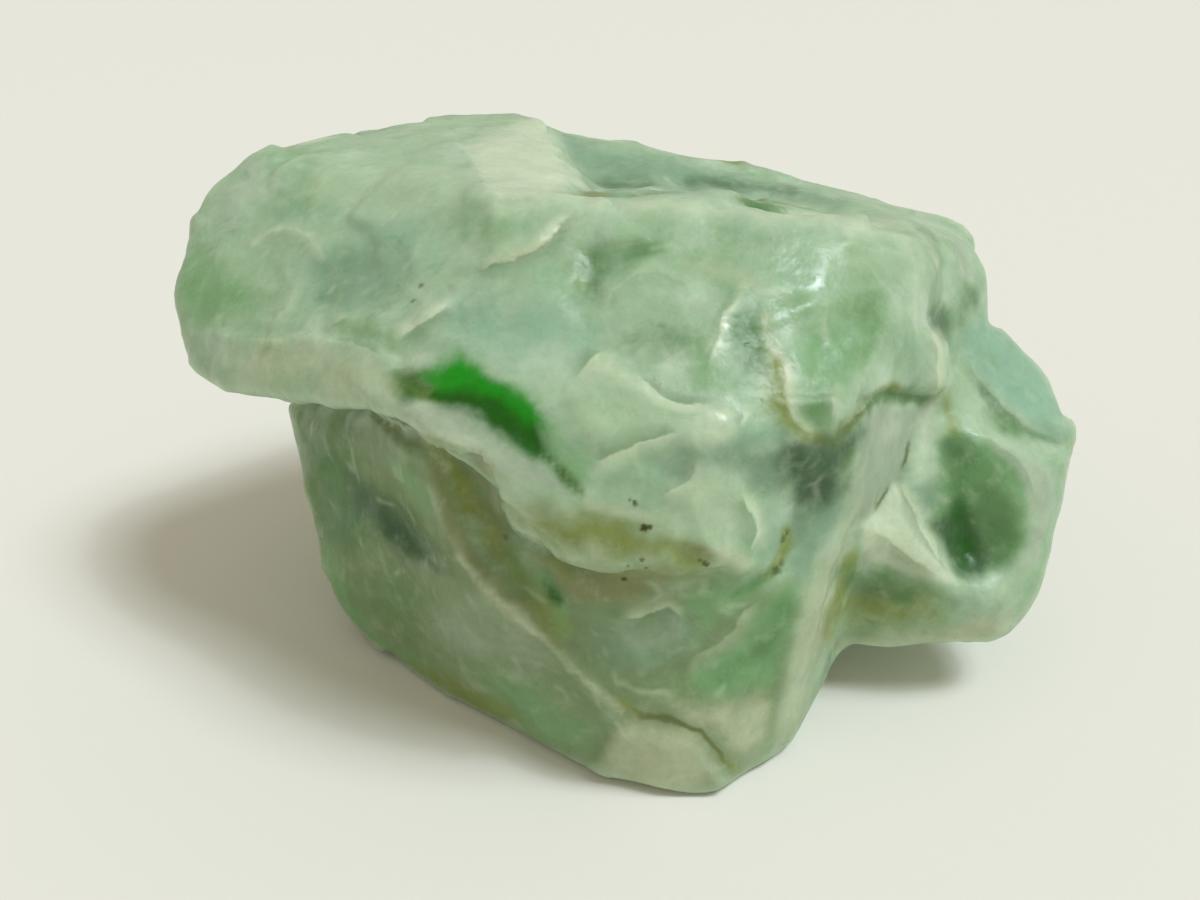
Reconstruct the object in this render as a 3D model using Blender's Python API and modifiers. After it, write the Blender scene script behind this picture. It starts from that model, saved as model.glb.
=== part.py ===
"""Raw jade: one water-worn piece of rough jadeite, about 38 mm across.

The stone is blocked out the way a carver would do it. Convex blocks of rock are
joined, hollows are scooped out of them, and the surface is worn smooth. It is then
cut flat where it stands, and its origin is put under the middle of its box.

Corners and hollows are written in the carver's frame, in which the blocks are
BLOCKED_LENGTH long: X runs along the stone, Y goes from its nose to its back, and Z
goes up from the surface that it stands on.
"""

import bpy
import bmesh
from math import radians
from mathutils import Euler, Matrix, Vector

MM = 0.001

LENGTH = 39.0 * MM          # end of the slab to the side of the lobe, before wear
BLOCKED_LENGTH = 39.0       # the same length in the corner lists
UNIT = LENGTH / BLOCKED_LENGTH

SKIN_GRAIN = 0.45 * MM      # spacing of the worn skin's points
WEAR_PASSES = 12            # how far water has rounded the edges
FACES_KEPT = 0.16           # share of the skin's faces that the finished stone keeps
GROUND_SIZE = 2.0 * LENGTH  # side of the block that cuts the foot flat

JADE_COLOUR = (0.36, 0.55, 0.39, 1.0)
JADE_ROUGHNESS = 0.38
JADE_METALLIC = 0.0

# The block that the others are joined to: the thick slab that overhangs on the left.
SLAB = [
    (-16.75, 5.0, 20.0), (-13.25, 6.75, 20.25), (-12.5, 10.5, 18.5), (-7.0, 11.0, 19.0),
    (-19.25, 4.0, 18.25), (-19.5, 0.0, 15.0), (-18.5, -2.25, 12.75), (-17.0, -4.0, 12.25),
    (-11.0, -7.5, 13.0), (-8.0, -9.75, 14.0), (-5.5, -9.75, 15.5), (-2.5, -8.0, 17.5),
    (-4.0, -3.5, 20.0), (-14.5, 6.0, 11.0), (2.0, 4.0, 11.0),
]

BLOCKS = {
    # The broad face under the front edge of the top.
    "brow": [
        (-4.75, -3.5, 20.0), (4.5, -4.5, 20.0), (8.5, -4.25, 19.25), (11.5, -3.25, 18.25),
        (12.5, -2.5, 17.25), (12.5, -3.5, 15.0), (-5.5, -9.5, 15.5), (-3.5, -11.0, 14.75),
        (-1.75, -12.5, 12.75), (3.0, -12.5, 13.75), (6.5, -11.25, 13.5), (9.0, -8.75, 13.5),
        (2.0, 4.0, 11.0), (9.0, 4.0, 10.0), (13.0, 6.0, 15.5), (4.0, 8.0, 17.5),
    ],
    # The corner of the top on the right, over the lobe.
    "shoulder": [
        (11.75, -2.0, 18.0), (15.5, 3.5, 17.0), (16.0, 1.5, 15.5), (15.75, -0.25, 14.0),
        (13.75, -2.25, 13.5), (12.5, -2.75, 14.5), (11.5, 8.0, 17.5), (6.75, 9.25, 18.25),
        (6.0, 4.0, 11.0), (13.0, 8.0, 12.0), (8.0, 10.0, 14.0),
    ],
    # The small face under the shoulder, between the brow and the lobe.
    "corner": [
        (10.75, -4.75, 15.25), (12.25, -4.0, 14.75), (13.0, -3.75, 14.0), (12.75, -5.0, 12.5),
        (9.5, -7.25, 13.25), (9.0, 4.0, 10.0), (13.0, 6.0, 15.5),
    ],
    # The rock that closes the angle between the brow, the lip and the trunk.
    "throat": [
        (5.5, -11.25, 13.25), (7.5, -10.25, 13.5), (9.0, -8.25, 13.25), (8.0, -10.0, 10.0),
        (6.25, -11.5, 9.75), (7.25, -11.25, 7.0), (5.0, -4.0, 12.0), (8.0, -3.0, 8.0),
    ],
    # The long ridge along the back of the top.
    "rear_ridge": [
        (-4.0, 12.0, 20.0), (11.5, 8.0, 17.5), (15.5, 3.5, 17.0), (-3.0, 16.0, 16.0),
        (5.0, 15.0, 15.5), (11.5, 11.0, 14.0), (-2.0, 8.0, 12.0), (8.0, 4.0, 12.0),
        (-2.0, 5.5, 18.25), (5.0, 3.0, 17.5), (10.5, 1.5, 16.75),
    ],
    # The highest part, behind the slab.
    "crest": [
        (-13.5, 8.0, 20.0), (-11.0, 11.25, 20.25), (-9.0, 12.5, 20.5), (-5.25, 12.75, 20.5),
        (-3.75, 11.5, 20.25), (-2.0, 4.25, 19.5), (-2.5, -1.5, 19.5), (-5.75, 0.0, 20.0),
        (-9.0, 14.5, 15.0), (-2.0, 14.0, 14.0), (-11.0, 9.0, 12.0),
    ],
    # The floor of the shallow valley between the top's front edge and the rear ridge.
    "valley_floor": [
        (-3.5, -3.0, 19.0), (6.0, -3.5, 18.75), (11.5, -1.0, 17.5), (13.5, 4.0, 16.5),
        (8.0, 10.0, 16.5), (-1.0, 13.0, 17.25), (-3.5, 9.0, 18.5), (0.0, 0.0, 12.0), (8.0, 4.0, 12.0),
    ],
    # The overhanging lip that steps down from the slab to the nose.
    "lip": [
        (-8.0, -9.75, 14.0), (-6.25, -11.0, 14.0), (-3.25, -12.5, 12.75), (-2.5, -12.5, 10.25),
        (-1.0, -13.0, 9.5), (2.25, -13.0, 10.0), (4.25, -12.25, 9.0), (6.0, -11.25, 9.75),
        (-5.5, -9.5, 15.25), (2.25, -12.0, 13.5), (5.5, -11.0, 12.5), (-1.0, -4.0, 12.0),
        (5.0, -4.0, 12.0), (-4.0, -4.0, 11.0),
    ],
    # The body under them all, which carries the stone down to its foot.
    "trunk": [
        (-15.5, 1.0, 9.5), (-13.25, -3.5, 1.5), (-11.5, -4.75, 0.5), (-8.25, -7.25, -0.5),
        (-1.0, -12.5, -0.5), (2.75, -13.75, -0.5), (6.25, -11.25, -0.5), (8.5, -6.5, -0.5),
        (-7.25, -8.25, 12.25), (-5.5, -10.5, 6.75), (-1.0, -12.75, 8.5), (3.5, -12.5, 8.25),
        (8.75, -8.0, 13.0), (8.0, -10.0, 10.0), (7.25, -11.25, 6.5), (12.5, -3.75, 11.5),
        (-13.5, 6.0, 9.5), (-9.0, 9.0, -0.5), (8.0, 7.0, -0.5), (9.0, 8.0, 12.0), (-11.0, 9.0, 12.0),
    ],
    # The round lobe that stands out on the right and doesn't reach the ground.
    "lobe": [
        (13.25, -1.0, 14.0), (16.25, 1.0, 13.5), (18.0, 1.0, 12.25), (19.0, 0.0, 11.25),
        (19.5, -2.5, 9.75), (17.5, -6.5, 4.5), (16.5, -7.5, 3.0), (15.5, -7.75, 2.5),
        (12.5, -8.0, 2.25), (8.75, -7.5, 2.0), (9.5, -6.5, 8.75), (12.5, -5.0, 11.0),
        (14.75, -5.5, 10.25), (16.5, -5.5, 9.0), (16.0, -7.25, 6.25), (14.0, -8.5, 4.75),
        (12.25, -8.25, 6.5), (9.0, -7.5, 5.5), (8.0, 4.0, 12.0), (8.0, 5.0, 2.5), (15.5, 4.0, 5.0),
    ],
    # The plain back, broken off steeply.
    "back": [
        (-11.5, 11.0, 15.5), (-13.0, 7.5, 9.0), (-4.0, 15.75, 14.5), (3.5, 15.75, 13.0),
        (9.5, 12.5, 14.5), (14.25, 7.5, 10.5), (11.0, 11.5, 6.0), (3.0, 16.25, 7.0),
        (-5.5, 15.75, 5.5), (-11.5, 11.5, 5.0), (-8.0, 11.0, -0.5), (0.0, 13.5, -0.5),
        (7.5, 10.0, -0.5), (-9.5, 3.0, -0.5), (8.5, 3.0, -0.5), (0.0, 0.0, 10.0),
    ],
}

# Each hollow is an egg shape: its centre, its three radii, and its turn about X, Y and Z.
HOLLOWS = {
    "lobe_bowl": ((14.1, -7.9, 8.4), (2.2, 1.8, 3.1), (14, 0, 12)),
    "crevice": ((6.6, -12.0, 11.4), (1.1, 1.7, 2.6), (0, 24, -35)),
    "shoulder_notch": ((13.3, -3.4, 16.2), (0.7, 1.2, 1.9), (0, 8, 30)),
    "wall_hollow": ((-9.2, -8.3, 7.4), (2.4, 1.1, 1.3), (0, 24, -42)),
    "slab_hollow": ((-11.5, -7.9, 19.0), (3.6, 1.8, 2.6), (-38, 0, -28)),
    "brow_hollow": ((-0.4, -9.7, 19.3), (3.0, 1.7, 2.6), (-38, 0, 0)),
    "rear_scoop": ((4.5, 17.5, 9.4), (6.0, 3.6, 3.4), (0, 20, -12)),
    "rear_notch": ((-7.5, 15.8, 9.5), (2.4, 2.4, 4.6), (0, -18, 20)),
    "left_scoop": ((-15.2, 6.4, 5.2), (3.0, 4.6, 3.0), (0, 0, 10)),
    "foot_arch": ((-4.0, 3.0, -1.0), (4.4, 3.4, 1.8), (0, 0, 20)),
}


def clear_scene():
    """Remove whatever the file opened with."""
    for old in list(bpy.data.objects):
        bpy.data.objects.remove(old, do_unlink=True)


def collection(name):
    """A new collection in the scene."""
    made = bpy.data.collections.new(name)
    bpy.context.scene.collection.children.link(made)
    return made


def hull(name, corners, home):
    """A block of rock: the convex hull of its corners."""
    shell = bmesh.new()
    for corner in corners:
        shell.verts.new(Vector(corner) * UNIT)
    found = bmesh.ops.convex_hull(shell, input=shell.verts)
    inner = {v for v in found["geom_interior"] if isinstance(v, bmesh.types.BMVert)}
    bmesh.ops.delete(shell, geom=list(inner), context="VERTS")
    bmesh.ops.recalc_face_normals(shell, faces=shell.faces)
    return shaped(name, shell, home)


def egg(name, centre, radii, turn, home):
    """The egg-shaped body that scoops out a hollow."""
    shell = bmesh.new()
    bmesh.ops.create_icosphere(shell, subdivisions=3, radius=1.0)
    place = Matrix.Translation(Vector(centre) * UNIT)
    turned = Euler([radians(angle) for angle in turn]).to_matrix().to_4x4()
    stretched = Matrix.Diagonal([radius * UNIT for radius in radii] + [1.0])
    shell.transform(place @ turned @ stretched)
    return shaped(name, shell, home)


def ground(home):
    """The block of ground under the stone, whose top cuts the foot flat."""
    shell = bmesh.new()
    bmesh.ops.create_cube(shell, size=GROUND_SIZE)
    bmesh.ops.translate(shell, verts=shell.verts, vec=(0.0, 0.0, -GROUND_SIZE / 2))
    return shaped("ground", shell, home)


def shaped(name, shell, home):
    """An object made from a finished bmesh."""
    mesh = bpy.data.meshes.new(name)
    shell.to_mesh(mesh)
    shell.free()
    made = bpy.data.objects.new(name, mesh)
    home.objects.link(made)
    return made


def guide(made):
    """Mark an object as a block or a cutter, which isn't itself part of the stone."""
    made.hide_render = True
    made.display_type = "WIRE"


def boolean(stone, name, operation, others):
    """Join a collection's blocks to the stone, or take them away from it."""
    step = stone.modifiers.new(name, "BOOLEAN")
    step.operation = operation
    step.solver = "EXACT"
    step.operand_type = "COLLECTION"
    step.collection = others


def worn(stone):
    """Round every edge, as water has, on an even skin with few faces."""
    skin = stone.modifiers.new("even skin", "REMESH")
    skin.mode = "VOXEL"
    skin.voxel_size = SKIN_GRAIN
    wear = stone.modifiers.new("wear", "SMOOTH")
    wear.factor = 0.5
    wear.iterations = WEAR_PASSES
    fewer = stone.modifiers.new("fewer faces", "DECIMATE")
    fewer.ratio = FACES_KEPT


def jade():
    """The plain jade finish."""
    made = bpy.data.materials.new("jade")
    made.use_nodes = True
    shader = made.node_tree.nodes["Principled BSDF"]
    shader.inputs["Base Color"].default_value = JADE_COLOUR
    shader.inputs["Roughness"].default_value = JADE_ROUGHNESS
    shader.inputs["Metallic"].default_value = JADE_METALLIC
    return made


def stand_over_origin(stone, followers, home):
    """Put the origin under the middle of the stone's box, with all that shapes it."""
    frame = bpy.data.objects.new("carver_frame", None)
    home.objects.link(frame)
    for piece in [stone] + followers:
        piece.parent = frame
    finished = stone.evaluated_get(bpy.context.evaluated_depsgraph_get())
    corners = [Vector(corner) for corner in finished.bound_box]
    low = Vector([min(corner[axis] for corner in corners) for axis in range(3)])
    high = Vector([max(corner[axis] for corner in corners) for axis in range(3)])
    middle = (low + high) / 2
    frame.location = (-middle.x, -middle.y, -low.z)


def main():
    clear_scene()
    home = collection("raw_jade_boulder")
    blocks = collection("blocks")
    hollows = collection("hollows")
    feet = collection("feet")

    stone = hull("jade_boulder", SLAB, home)
    guides = [hull(name, corners, blocks) for name, corners in BLOCKS.items()]
    guides += [egg(name, *shape, hollows) for name, shape in HOLLOWS.items()]
    guides.append(ground(feet))
    for made in guides:
        guide(made)

    boolean(stone, "join blocks", "UNION", blocks)
    boolean(stone, "scoop hollows", "DIFFERENCE", hollows)
    worn(stone)
    boolean(stone, "flat foot", "DIFFERENCE", feet)
    stone.data.materials.append(jade())
    stand_over_origin(stone, guides, home)


main()
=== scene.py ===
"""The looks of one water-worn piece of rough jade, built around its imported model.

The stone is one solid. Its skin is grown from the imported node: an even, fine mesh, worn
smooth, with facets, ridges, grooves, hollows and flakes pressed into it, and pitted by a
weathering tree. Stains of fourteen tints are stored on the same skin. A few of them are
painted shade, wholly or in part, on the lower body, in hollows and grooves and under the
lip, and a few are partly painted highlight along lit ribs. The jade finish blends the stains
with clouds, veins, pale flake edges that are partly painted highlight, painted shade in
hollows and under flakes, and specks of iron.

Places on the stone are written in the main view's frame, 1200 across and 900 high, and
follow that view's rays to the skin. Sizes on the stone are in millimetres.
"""

from __future__ import annotations

import logging
import math
from dataclasses import dataclass, field
from enum import Enum
from typing import Any, Iterable, Sequence

import bpy
import numpy as np
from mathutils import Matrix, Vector, noise
from mathutils.bvhtree import BVHTree
from mathutils.kdtree import KDTree


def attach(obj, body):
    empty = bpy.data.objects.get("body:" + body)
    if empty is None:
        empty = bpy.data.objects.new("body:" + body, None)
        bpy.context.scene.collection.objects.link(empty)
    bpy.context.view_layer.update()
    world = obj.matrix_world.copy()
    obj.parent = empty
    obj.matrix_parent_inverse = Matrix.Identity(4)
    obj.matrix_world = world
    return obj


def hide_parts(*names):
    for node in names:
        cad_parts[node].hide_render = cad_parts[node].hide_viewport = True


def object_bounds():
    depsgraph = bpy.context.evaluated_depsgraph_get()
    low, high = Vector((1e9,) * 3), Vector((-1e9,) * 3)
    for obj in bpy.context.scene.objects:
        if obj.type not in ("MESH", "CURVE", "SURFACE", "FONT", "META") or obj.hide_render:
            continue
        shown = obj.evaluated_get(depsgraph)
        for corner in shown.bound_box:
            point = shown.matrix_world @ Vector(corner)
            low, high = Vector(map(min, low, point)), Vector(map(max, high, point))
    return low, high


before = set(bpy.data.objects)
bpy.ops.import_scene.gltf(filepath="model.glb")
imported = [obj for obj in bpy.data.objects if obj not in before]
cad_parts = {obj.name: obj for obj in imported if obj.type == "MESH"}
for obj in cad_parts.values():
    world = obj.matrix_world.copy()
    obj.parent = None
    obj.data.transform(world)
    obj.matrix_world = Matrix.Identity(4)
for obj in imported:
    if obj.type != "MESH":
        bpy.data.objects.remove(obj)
CAD_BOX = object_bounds()

log = logging.getLogger("jade")

MM = 0.001
STONE_NODE = "jade_boulder"
STONE_BODY = "root"

# The clouds of tint on the hidden sides: how many times wider than high they are, how far
# apart in the noise they are read, the noise's own three numbers, and how soft they are.
DRIFT_FLATNESS = 1.6
DRIFT_STRIDE = 7.0
DRIFT_NOISE = (1.2, 2.0, 3)
DRIFT_BLUR = 0.4
STAIN_BLUR = 1.5  # how much softer a stain's outline is than its reach

Spot = tuple[float, float]
Colour = tuple[float, float, float]


# ---------------------------------------------------------------- small helpers


def smooth_step(low: float, high: float, value: np.ndarray) -> np.ndarray:
    """A soft step from 0 to 1.

    Args:
        low: Where the step starts.
        high: Where it ends.
        value: The values to step.

    Returns:
        The stepped values.
    """
    share = np.clip((value - low) / (high - low), 0.0, 1.0)
    return share * share * (3.0 - 2.0 * share)


def mesh_piece(name: str, source: bpy.types.Object) -> bpy.types.Object:
    """Bake an object's modifiers into a new plain mesh piece, and remove the object.

    Args:
        name: The new piece's name.
        source: The object whose evaluated mesh is kept.

    Returns:
        The new piece, at the origin.
    """
    graph = bpy.context.evaluated_depsgraph_get()
    mesh = bpy.data.meshes.new_from_object(source.evaluated_get(graph))
    mesh.name = name
    bpy.data.objects.remove(source, do_unlink=True)
    made = bpy.data.objects.new(name, mesh)
    bpy.context.scene.collection.objects.link(made)
    return made


def read_rows(source: Any, name: str, width: int, kind: type) -> np.ndarray:
    """Read one property of all the items of a mesh.

    Args:
        source: The mesh's points, normals or edges.
        name: The property.
        width: How many numbers it has on each item.
        kind: The numbers' type.

    Returns:
        One row for each item.
    """
    rows = np.empty(len(source) * width, kind)
    source.foreach_get(name, rows)
    return rows.reshape(-1, width)


# ---------------------------------------------------------------- the main view


@dataclass(frozen=True)
class MainView:
    """The angle that the stone is best known from, which is also the frame for its marks.

    Attributes:
        width: The frame's width.
        height: The frame's height.
        focal: The focal length, in the frame's own units.
        tilt: How far the view looks down, in degrees.
        eye: Where it looks from, in millimetres.
        sensor: The camera's sensor width, in millimetres.
    """

    width: float = 1200.0
    height: float = 900.0
    focal: float = 1050.0
    tilt: float = 26.8
    eye: tuple[float, float, float] = (-0.998, -43.765, 29.1)
    sensor: float = 36.0

    def axes(self) -> tuple[np.ndarray, np.ndarray, np.ndarray]:
        """The view's right, up and forward directions."""
        lean = math.radians(self.tilt)
        right = np.array((1.0, 0.0, 0.0))
        upward = np.array((0.0, math.sin(lean), math.cos(lean)))
        forward = np.array((0.0, math.cos(lean), -math.sin(lean)))
        return right, upward, forward

    def project(self, points: np.ndarray) -> tuple[np.ndarray, np.ndarray]:
        """Where points fall in the frame.

        Args:
            points: Points in millimetres, one row each.

        Returns:
            Their places in the frame, and the millimetres that one unit of it spans there.
        """
        right, upward, forward = self.axes()
        offset = points - np.array(self.eye)
        depth = offset @ forward
        across = self.width / 2 + self.focal * (offset @ right) / depth
        down = self.height / 2 - self.focal * (offset @ upward) / depth
        return np.stack((across, down), axis=1), depth / self.focal

    def ray(self, spot: Spot) -> Vector:
        """The direction from the eye through a spot in the frame."""
        right, upward, forward = self.axes()
        across = (spot[0] - self.width / 2) / self.focal
        down = (self.height / 2 - spot[1]) / self.focal
        return Vector(forward + across * right + down * upward).normalized()

    def make_camera(self) -> None:
        """Put the scene's camera at the view."""
        lens = bpy.data.cameras.new("main_view")
        lens.sensor_width = self.sensor
        lens.lens = self.sensor * self.focal / self.width
        lens.clip_start = 1.0 * MM
        lens.clip_end = 2000.0 * MM
        camera = bpy.data.objects.new("main_view", lens)
        camera.location = Vector(self.eye) * MM
        camera.rotation_euler = (math.radians(90.0 - self.tilt), 0.0, 0.0)
        bpy.context.scene.collection.objects.link(camera)
        bpy.context.scene.camera = camera


# ---------------------------------------------------------------- marks on the skin


@dataclass
class Nearness:
    """How near points lie to a path.

    Attributes:
        gap: How far from it they are, in mm.
        side: 1 on the right of someone who walks along it, and -1 on the left.
        along: How far along it their nearest place is, from 0 to 1.
    """

    gap: np.ndarray
    side: np.ndarray
    along: np.ndarray


@dataclass
class Sight:
    """The skin's points as the main view sees them.

    Attributes:
        places: Each point's place in the frame.
        scale: Millimetres that one unit of the frame spans at each point.
        seen: How surely the view sees each point, from 0 to 1.
    """

    places: np.ndarray
    scale: np.ndarray
    seen: np.ndarray

    def near(self, spots: Sequence[Spot]) -> Nearness:
        """How near each point lies to a path.

        Args:
            spots: The path's corners, or a single spot.

        Returns:
            How near each point is.
        """
        corners = np.array(spots, float)
        count = len(self.places)
        if len(corners) == 1:
            reach = np.linalg.norm(self.places - corners[0], axis=1)
            return Nearness(reach * self.scale, np.ones(count), np.full(count, 0.5))
        best = np.full(count, np.inf)
        side = np.ones(count)
        walked = np.zeros(count)
        behind = 0.0
        for start, end in zip(corners[:-1], corners[1:]):
            along = end - start
            offset = self.places - start
            share = np.clip(offset @ along / max(along @ along, 1e-9), 0.0, 1.0)
            away = np.linalg.norm(offset - share[:, None] * along, axis=1)
            nearer = away < best
            best[nearer] = away[nearer]
            turn = along[0] * offset[:, 1] - along[1] * offset[:, 0]
            side[nearer] = np.sign(turn[nearer])
            length = float(np.linalg.norm(along))
            walked[nearer] = behind + share[nearer] * length
            behind += length
        return Nearness(best * self.scale, side, walked / max(behind, 1e-9))

    def inside(self, spots: Sequence[Spot]) -> np.ndarray:
        """Which points lie inside an outline, by how often a line to the right crosses it."""
        corners = np.array(spots, float)
        across, down = self.places[:, 0], self.places[:, 1]
        within = np.zeros(len(self.places), bool)
        for start, end in zip(corners, np.roll(corners, -1, axis=0)):
            if start[1] == end[1]:
                continue
            spans = (start[1] > down) != (end[1] > down)
            crossing = start[0] + (down - start[1]) * (end[0] - start[0]) / (end[1] - start[1])
            within ^= spans & (across < crossing)
        return within


class Shape(Enum):
    """How a mark's spots are read."""

    LINE = "line"      # a soft streak along a path, or a round blot at a single spot
    AREA = "area"      # everything inside an outline
    STEP = "step"      # a path where the skin drops, on its right-hand side


@dataclass(frozen=True)
class Mark:
    """A place on the stone.

    Attributes:
        spots: Its corners in the main view's frame.
        reach: How far the mark reaches from its path, or in from its outline, in mm.
        shape: How the spots are read.
    """

    spots: tuple[Spot, ...]
    reach: float
    shape: Shape = Shape.LINE

    def cover(self, sight: Sight) -> np.ndarray:
        """How strongly the mark tints each point, from 0 to 1, with soft edges."""
        if self.shape is Shape.AREA:
            gap = sight.near(self.spots + self.spots[:1]).gap
            signed = np.where(sight.inside(self.spots), gap, -gap)
            return smooth_step(-STAIN_BLUR * self.reach, STAIN_BLUR * self.reach, signed)
        return np.exp(-((sight.near(self.spots).gap / self.reach) ** 2))

    def rise(self, sight: Sight) -> np.ndarray:
        """How far the mark lifts each point, as a share of its height, with crisp edges."""
        if self.shape is Shape.AREA:
            gap = sight.near(self.spots + self.spots[:1]).gap
            inner = np.where(sight.inside(self.spots), gap, 0.0)
            return 1.0 - (1.0 - np.clip(inner / self.reach, 0.0, 1.0)) ** 2
        near = sight.near(self.spots)
        if self.shape is Shape.STEP:
            return -near.side * np.exp(-near.gap / self.reach)
        if len(self.spots) == 1:
            return np.exp(-((near.gap / self.reach) ** 2))
        return np.exp(-near.gap / self.reach)


@dataclass(frozen=True)
class Relief:
    """A ridge, groove, hollow, flake or step. A height below zero sinks the skin."""

    height: float
    mark: Mark


def line(height: float, reach: float, *spots: Spot) -> Relief:
    """A ridge, or a groove if its height is below zero."""
    return Relief(height, Mark(spots, reach))


def area(height: float, reach: float, *spots: Spot) -> Relief:
    """A flake that stands proud, or a hollow if its height is below zero."""
    return Relief(height, Mark(spots, reach, Shape.AREA))


def step(height: float, reach: float, *spots: Spot) -> Relief:
    """A step down on the right-hand side of a path."""
    return Relief(height, Mark(spots, reach, Shape.STEP))


# Paths that the relief, the rims and the stains share.
RIB_LEFT_OF_HOLLOW = ((297, 279), (285, 310), (268, 323))
ARCH_RIB = ((838, 392), (834, 412), (831, 432))
TOE_NICK = ((626, 738), (642, 758))

SLAB_RELIEF = {
    "crest end": step(0.22, 1.6, (590, 187), (551, 153), (541, 114)),
    "crest's left edge": step(-0.12, 0.7, (463, 150), (478, 170), (497, 197)),
    "slab hollow": area(
        -0.24, 1.6, (302, 262), (330, 243), (370, 236), (408, 244), (418, 280), (404, 305),
        (360, 318), (318, 314), (296, 290)),
    "rib under the hollow": line(
        0.1, 0.4, (268, 323), (300, 328), (325, 325), (344, 316), (370, 325), (385, 333)),
    "bright rib": line(0.14, 0.4, (383, 335), (420, 318), (447, 300)),
    "rib left of the hollow": line(0.1, 0.5, *RIB_LEFT_OF_HOLLOW),
    "rib over the hollow": line(0.1, 0.5, (251, 239), (280, 228), (310, 237), (327, 256)),
    "bent rib": step(0.1, 0.7, (468, 270), (503, 260), (543, 243), (554, 230), (580, 217)),
    "lower band's edge": step(
        -0.1, 1.0, (222, 332), (250, 335), (330, 336), (385, 345), (402, 372)),
    "dimple": line(-0.22, 1.3, (380, 195)),
    "second dimple": line(-0.18, 1.1, (445, 235)),
    "third dimple": line(-0.2, 1.3, (262, 255)),
    "fourth dimple": line(-0.16, 1.2, (490, 320)),
}

BROW_RELIEF = {
    "front edge": line(
        0.1, 0.9, (500, 199), (590, 194), (653, 197), (750, 207), (800, 213), (872, 222),
        (903, 225), (925, 240)),
    "dark hollow": area(
        -0.32, 0.9, (575, 250), (600, 238), (660, 240), (668, 256), (640, 268), (618, 285),
        (600, 308), (585, 300), (572, 280)),
    "bright ridge": line(0.1, 0.6, (742, 286), (723, 315), (711, 345), (700, 372)),
    "dark dent": line(-0.06, 0.8, (749, 333)),
    "arch": area(
        0.12, 0.8, (777, 345), (783, 372), (785, 395), (793, 418), (807, 434), (826, 437),
        (843, 427), (860, 409), (872, 397), (893, 387), (903, 360), (902, 310), (880, 285),
        (820, 285), (788, 305)),
    "arch hollow": area(
        -0.14, 1.8, (796, 310), (840, 305), (856, 342), (840, 378), (806, 385), (790, 340)),
    "arch rib": line(0.1, 0.35, (833, 392), (835, 428)),
    "arch foot": step(0.08, 0.4, (835, 402), (812, 400), (787, 396)),
    "shallow dish": line(-0.2, 1.8, (715, 245)),
    "glossy nick": step(-0.08, 0.5, (855, 242), (885, 250), (908, 254)),
    "shoulder bulge": line(0.14, 0.7, (907, 237), (930, 262), (932, 285)),
    "shoulder groove": line(-0.3, 0.6, (935, 237), (943, 260), (938, 287), (932, 320)),
    "notch": area(-0.2, 0.6, (930, 310), (945, 300), (956, 315), (952, 345), (935, 350)),
    "groove under the shoulder": line(-0.3, 0.4, (866, 402), (885, 396), (910, 397), (937, 398)),
    "corner facet": area(0.15, 0.8, (905, 340), (938, 350), (942, 392), (893, 394)),
    "broken shell": area(
        0.14, 0.5, (562, 394), (590, 360), (612, 348), (628, 362), (645, 380), (660, 396),
        (700, 406), (731, 398), (742, 427), (728, 442), (692, 446), (660, 440), (640, 450),
        (600, 462), (575, 430)),
}

TOP_RELIEF = {
    "valley end": line(-0.3, 1.2, (610, 184)),
    "valley groove": line(-0.2, 0.8, (687, 180), (735, 184), (783, 189)),
    "near groove": line(-0.14, 0.6, (638, 191), (700, 197), (800, 204)),
}

NOSE_RELIEF = {
    "emerald hollow": area(
        -0.1, 0.9, (404, 380), (431, 370), (465, 364), (500, 384), (531, 410), (549, 434),
        (576, 486), (537, 456), (503, 432), (478, 416), (453, 404), (403, 400)),
    "lip": line(
        0.14, 0.5, (395, 414), (410, 426), (436, 436), (460, 445), (482, 451), (494, 462)),
    "drop under the lip": step(
        0.32, 0.9, (393, 417), (410, 431), (438, 441), (465, 450), (482, 456), (494, 466),
        (500, 480), (503, 505), (514, 530), (537, 541), (550, 549), (564, 560), (582, 564)),
    "drop under the shelf": step(
        0.12, 0.8, (592, 564), (630, 570), (661, 571), (705, 568), (739, 567)),
    "brown pocket": area(
        -0.16, 0.4, (668, 545), (690, 540), (715, 552), (705, 566), (675, 560)),
    "shelf's upper edge": line(
        0.14, 0.6, (540, 499), (600, 505), (650, 520), (700, 545), (745, 566)),
    "glassy facet": area(
        -0.18, 0.7, (634, 462), (664, 446), (690, 436), (700, 462), (690, 492), (655, 482)),
    "pale facet": area(
        0.16, 0.7, (672, 500), (700, 474), (742, 470), (760, 500), (762, 536), (742, 562),
        (704, 576), (690, 540)),
    "crescent": step(0.1, 0.5, (752, 556), (760, 530), (757, 514), (742, 495)),
    "crevice": area(
        -0.16, 1.2, (778, 440), (800, 434), (832, 440), (862, 410), (858, 440), (850, 500),
        (835, 540), (800, 560), (785, 540), (790, 500)),
    "crevice head": line(-0.2, 0.5, (826, 440), (848, 426), (866, 404)),
    "crack": line(-0.22, 0.35, (733, 594), (755, 585), (777, 570), (795, 545), (800, 520)),
}

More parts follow.
